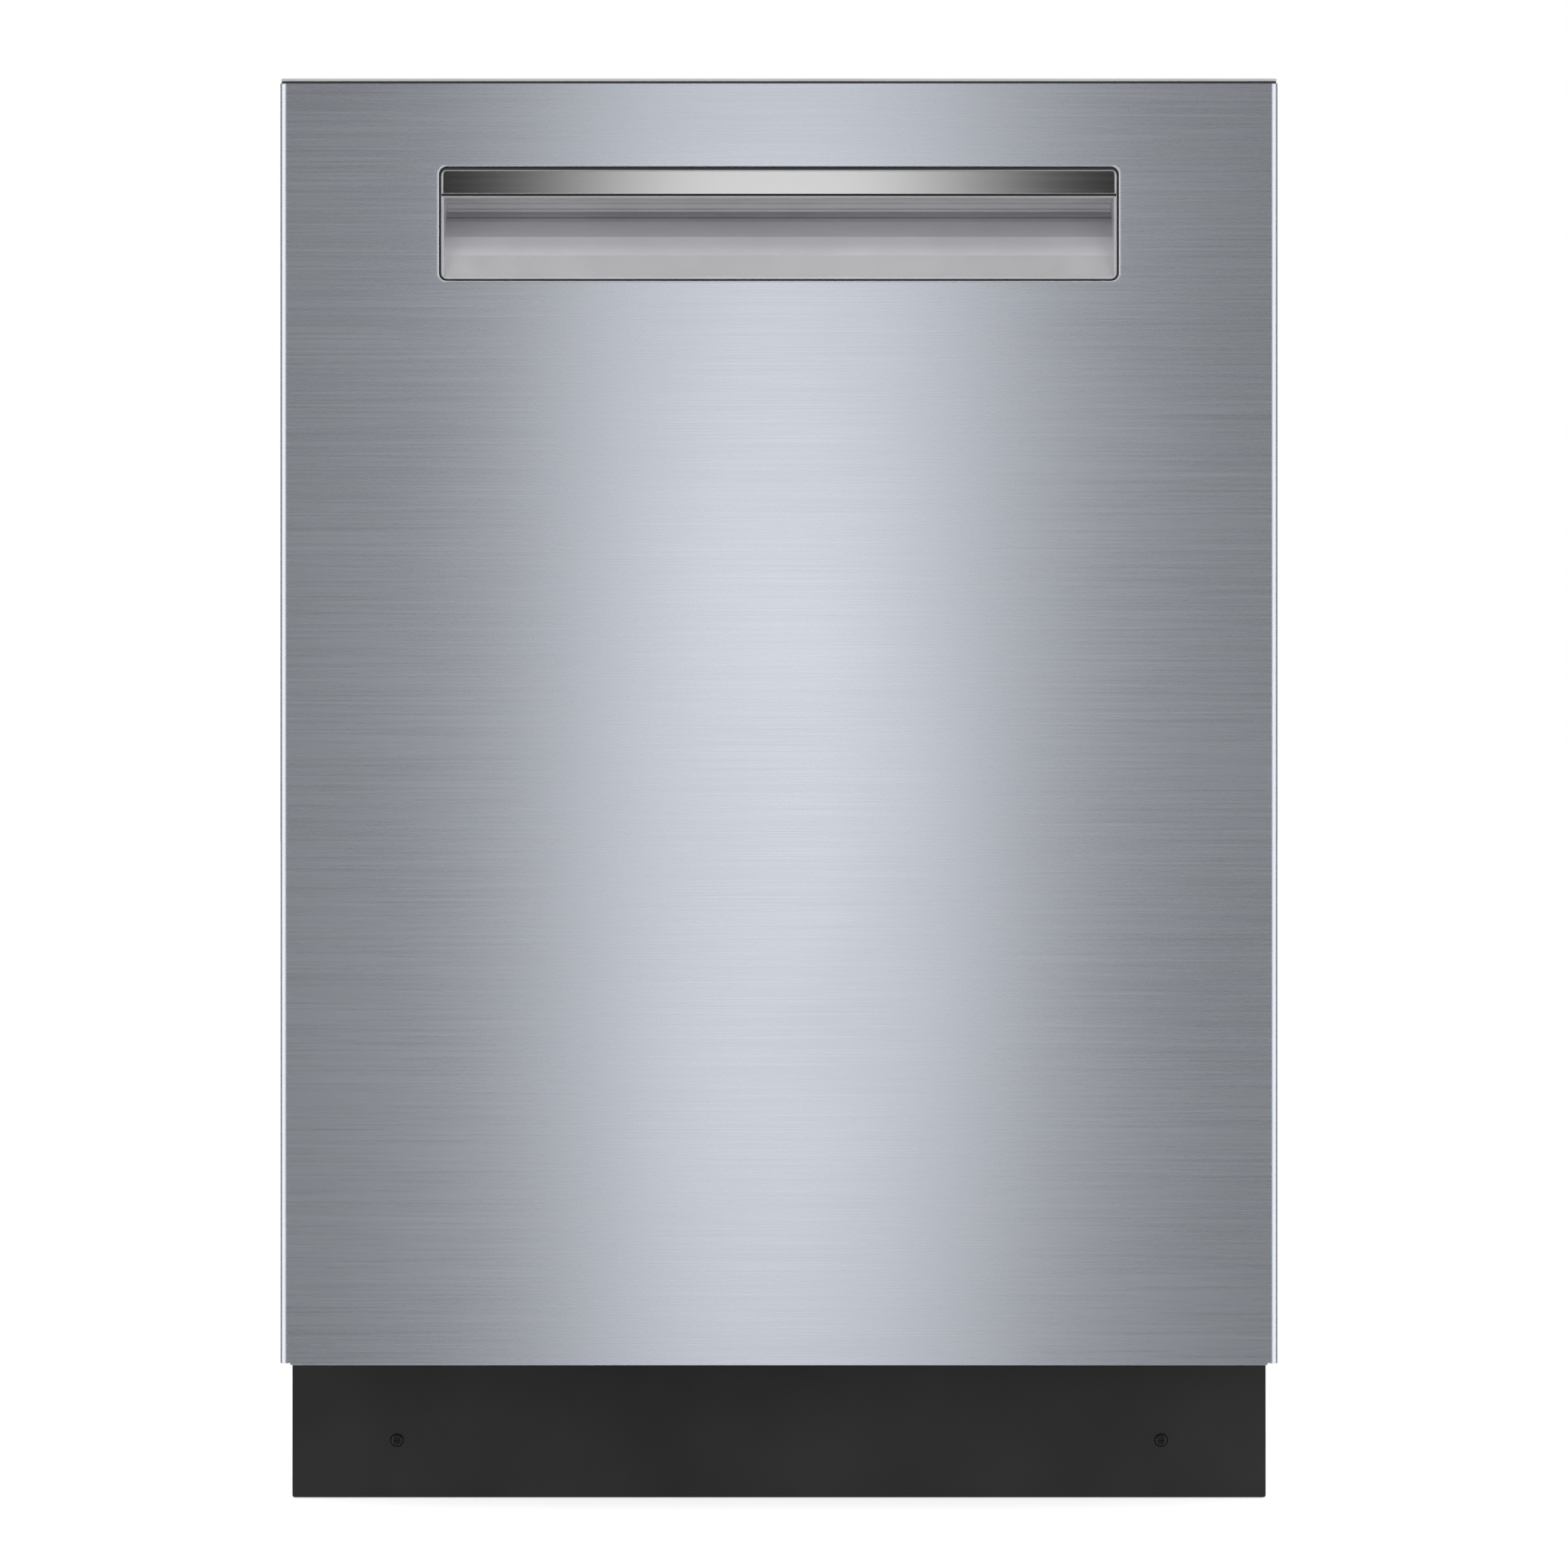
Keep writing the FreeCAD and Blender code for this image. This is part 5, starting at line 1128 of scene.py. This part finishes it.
def filter_parts():
    """Fine mesh drum of the filter with ribs, a rim and its grip."""
    low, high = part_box("filter_cylinder")
    x, y, _ = halfway(low, high)
    radius = (high[0] - low[0]) / 2
    top = high[2] - 5 * MM
    shape = Shape()

    def spin(a, b, height):
        return (x + a, y + b, height)

    for base, tall in ((low[2], 4 * MM), (low[2] + 28 * MM, 2 * MM), (top - 6 * MM, 6 * MM)):
        shape.ring(radius - 2.4 * MM, radius, base, base + tall, spin, 48)
    for i in range(40):
        angle = 2 * pi * i / 40
        a, b = cos(angle), sin(angle)
        side = Vector((-b, a, 0))
        out = Vector((a, b, 0))
        centre = Vector((x, y, 0))
        shape.loft([[centre + out * (radius - 2 * MM + 1.4 * MM * p) + side * 0.9 * MM * q + Vector((0, 0, z))
                     for p, q in ((0, -1), (1, -1), (1, 1), (0, 1))] for z in (low[2] + MM, top - MM)])
    for z in spread(low[2] + 8 * MM, top - 10 * MM, 9):
        shape.ring(radius - 1.8 * MM, radius - 0.8 * MM, z, z + 0.8 * MM, spin, 48)
    floor = low[2] + 1.5 * MM
    shape.lathe([(1 * MM, low[2]), (radius - 2 * MM, low[2]), (radius - 2 * MM, floor), (1 * MM, floor)],
                spin, 48)
    shape.block((x - radius + 2 * MM, y - 2.2 * MM, top - 6 * MM),
                (x + radius - 2 * MM, y + 2.2 * MM, high[2]))
    piece("filter_drum", shape, "grey_plastic", "filter_cylinder_body", "filter_cylinder", smooth=False)


pocket_trim()
bottom_seal()
tub_pieces()
gasket()
liner()
lower_rack()
tine_rows()
upper_rack()
third_rack()
cup_shelves()
cutlery_basket()
wheel_sets()
spray_arms()
springs()
blanket()
door_pad()
hoses()
filter_parts()

# ------------------------------------------------------------------ stage


def ramp_curve(s, value, places):
    """The value of a smooth curve through (place, value) points, from 0 to the last place."""
    node = s.add("ShaderNodeFloatCurve")
    curve = node.mapping.curves[0]
    reach = places[-1][0]
    top = max(height for _, height in places)
    for _ in range(len(places) - 2):
        curve.points.new(0.5, 0.5)
    for point, (place, height) in zip(curve.points, places):
        point.location = (place / reach, height / top)
        point.handle_type = "AUTO_CLAMPED"
    node.mapping.update()
    s.join(s.maths("DIVIDE", value, reach), node.inputs["Value"])
    return s.maths("MULTIPLY", node.outputs[0], top)


def emitter(name, across, upright, centre):
    """Soft light card, brightest at the centre and fading to its sides and its ends."""
    s = Shader(name)
    emission = s.add("ShaderNodeEmission")
    s.join(emission.outputs[0], s.output.inputs["Surface"])
    separate = s.add("ShaderNodeSeparateXYZ")
    s.join(s.coordinates, separate.inputs[0])
    side = ramp_curve(s, s.maths("ABSOLUTE", separate.outputs["X"], 0), across)
    rise = s.maths("ABSOLUTE", s.maths("SUBTRACT", separate.outputs["Z"], centre), 0)
    s.join(s.maths("MULTIPLY", side, ramp_curve(s, rise, upright)), emission.inputs["Strength"])
    return s.material


def card(name, corners, material):
    mesh = bpy.data.meshes.new(name)
    mesh.from_pydata(corners, [], [tuple(range(len(corners)))])
    mesh.materials.append(material)
    item = linked(name, mesh)
    return item


def reflected_card(name, low, high, material):
    """An upright card that shows only in glossy surfaces, and neither lights nor shades anything else."""
    (x0, y0, z0), (x1, y1, z1) = low, high
    item = card(name, [(x0, y0, z0), (x1, y1, z0), (x1, y1, z1), (x0, y0, z1)], material)
    for rays in ("camera", "diffuse", "shadow", "transmission"):
        setattr(item, "visible_" + rays, False)


FRONT = cad_box[0][1]
CAMERA_DISTANCE = 3.4
CAMERA_HEIGHT = 0.4373
CAMERA_SIDE = 0.00304

camera_data = bpy.data.cameras.new("camera")
camera_data.lens = 130.3
camera_data.sensor_width = 36.0
camera = linked("camera", camera_data)
camera.location = (CAMERA_SIDE, FRONT - CAMERA_DISTANCE, CAMERA_HEIGHT)
camera.rotation_euler = (radians(90), 0, 0)
bpy.context.scene.camera = camera

world = bpy.data.worlds.new("studio")
bpy.context.scene.world = world
world.use_nodes = True
background = world.node_tree.nodes["Background"]
background.inputs["Color"].default_value = (1, 1, 1, 1)
background.inputs["Strength"].default_value = 1.0

CARD_Y = FRONT - 1.0
CARD_HALF = 0.78
CARD_LOW, CARD_HIGH = -3.0, 3.0
CARD_CENTRE = 0.47
ACROSS = [(0.0, 1.06), (0.06, 1.01), (0.088, 0.88), (0.116, 0.73), (0.145, 0.52), (0.173, 0.35), (0.20, 0.20),
          (0.23, 0.10), (0.26, 0.05), (0.32, 0.03), (CARD_HALF, 0.03)]
UPRIGHT = [(0.0, 1.0), (0.25, 0.97), (0.36, 0.91), (0.5, 0.79), (0.8, 0.66), (3.6, 0.55)]
reflected_card("front_light_card", (-CARD_HALF, CARD_Y, CARD_LOW), (CARD_HALF, CARD_Y, CARD_HIGH),
               emitter("front_light", ACROSS, UPRIGHT, CARD_CENTRE))

dark = Shader("black_flag")
dark.finish(dark.between(dark.noise(2, 2), 0.01, 0.02), Roughness=1.0)
FLAG_X = 1.6
FLAG_FRONT, FLAG_BACK = -0.12, 4.0
FLAG_LOW, FLAG_HIGH = -1.6, 2.4
for side, x in (("left", -FLAG_X), ("right", FLAG_X)):
    reflected_card("side_flag_" + side, (x, FLAG_FRONT, FLAG_LOW), (x, FLAG_BACK, FLAG_HIGH), dark.material)

pale = Shader("pale_floor")
pale.finish(pale.mix(pale.between(pale.noise(3, 2), 0, 1), (0.52, 0.52, 0.52), (0.54, 0.54, 0.54)),
            Roughness=0.9, Specular_IOR_Level=0.0, Emission_Color=(1, 1, 1, 1), Emission_Strength=0.74)
FLOOR_HALF = 40.0
floor = card("floor", [(-FLOOR_HALF, -FLOOR_HALF, 0), (FLOOR_HALF, -FLOOR_HALF, 0),
                       (FLOOR_HALF, FLOOR_HALF, 0), (-FLOOR_HALF, FLOOR_HALF, 0)], pale.material)
floor.visible_glossy = False

bpy.context.scene.view_settings.view_transform = "Standard"
bpy.context.scene.view_settings.look = "None"
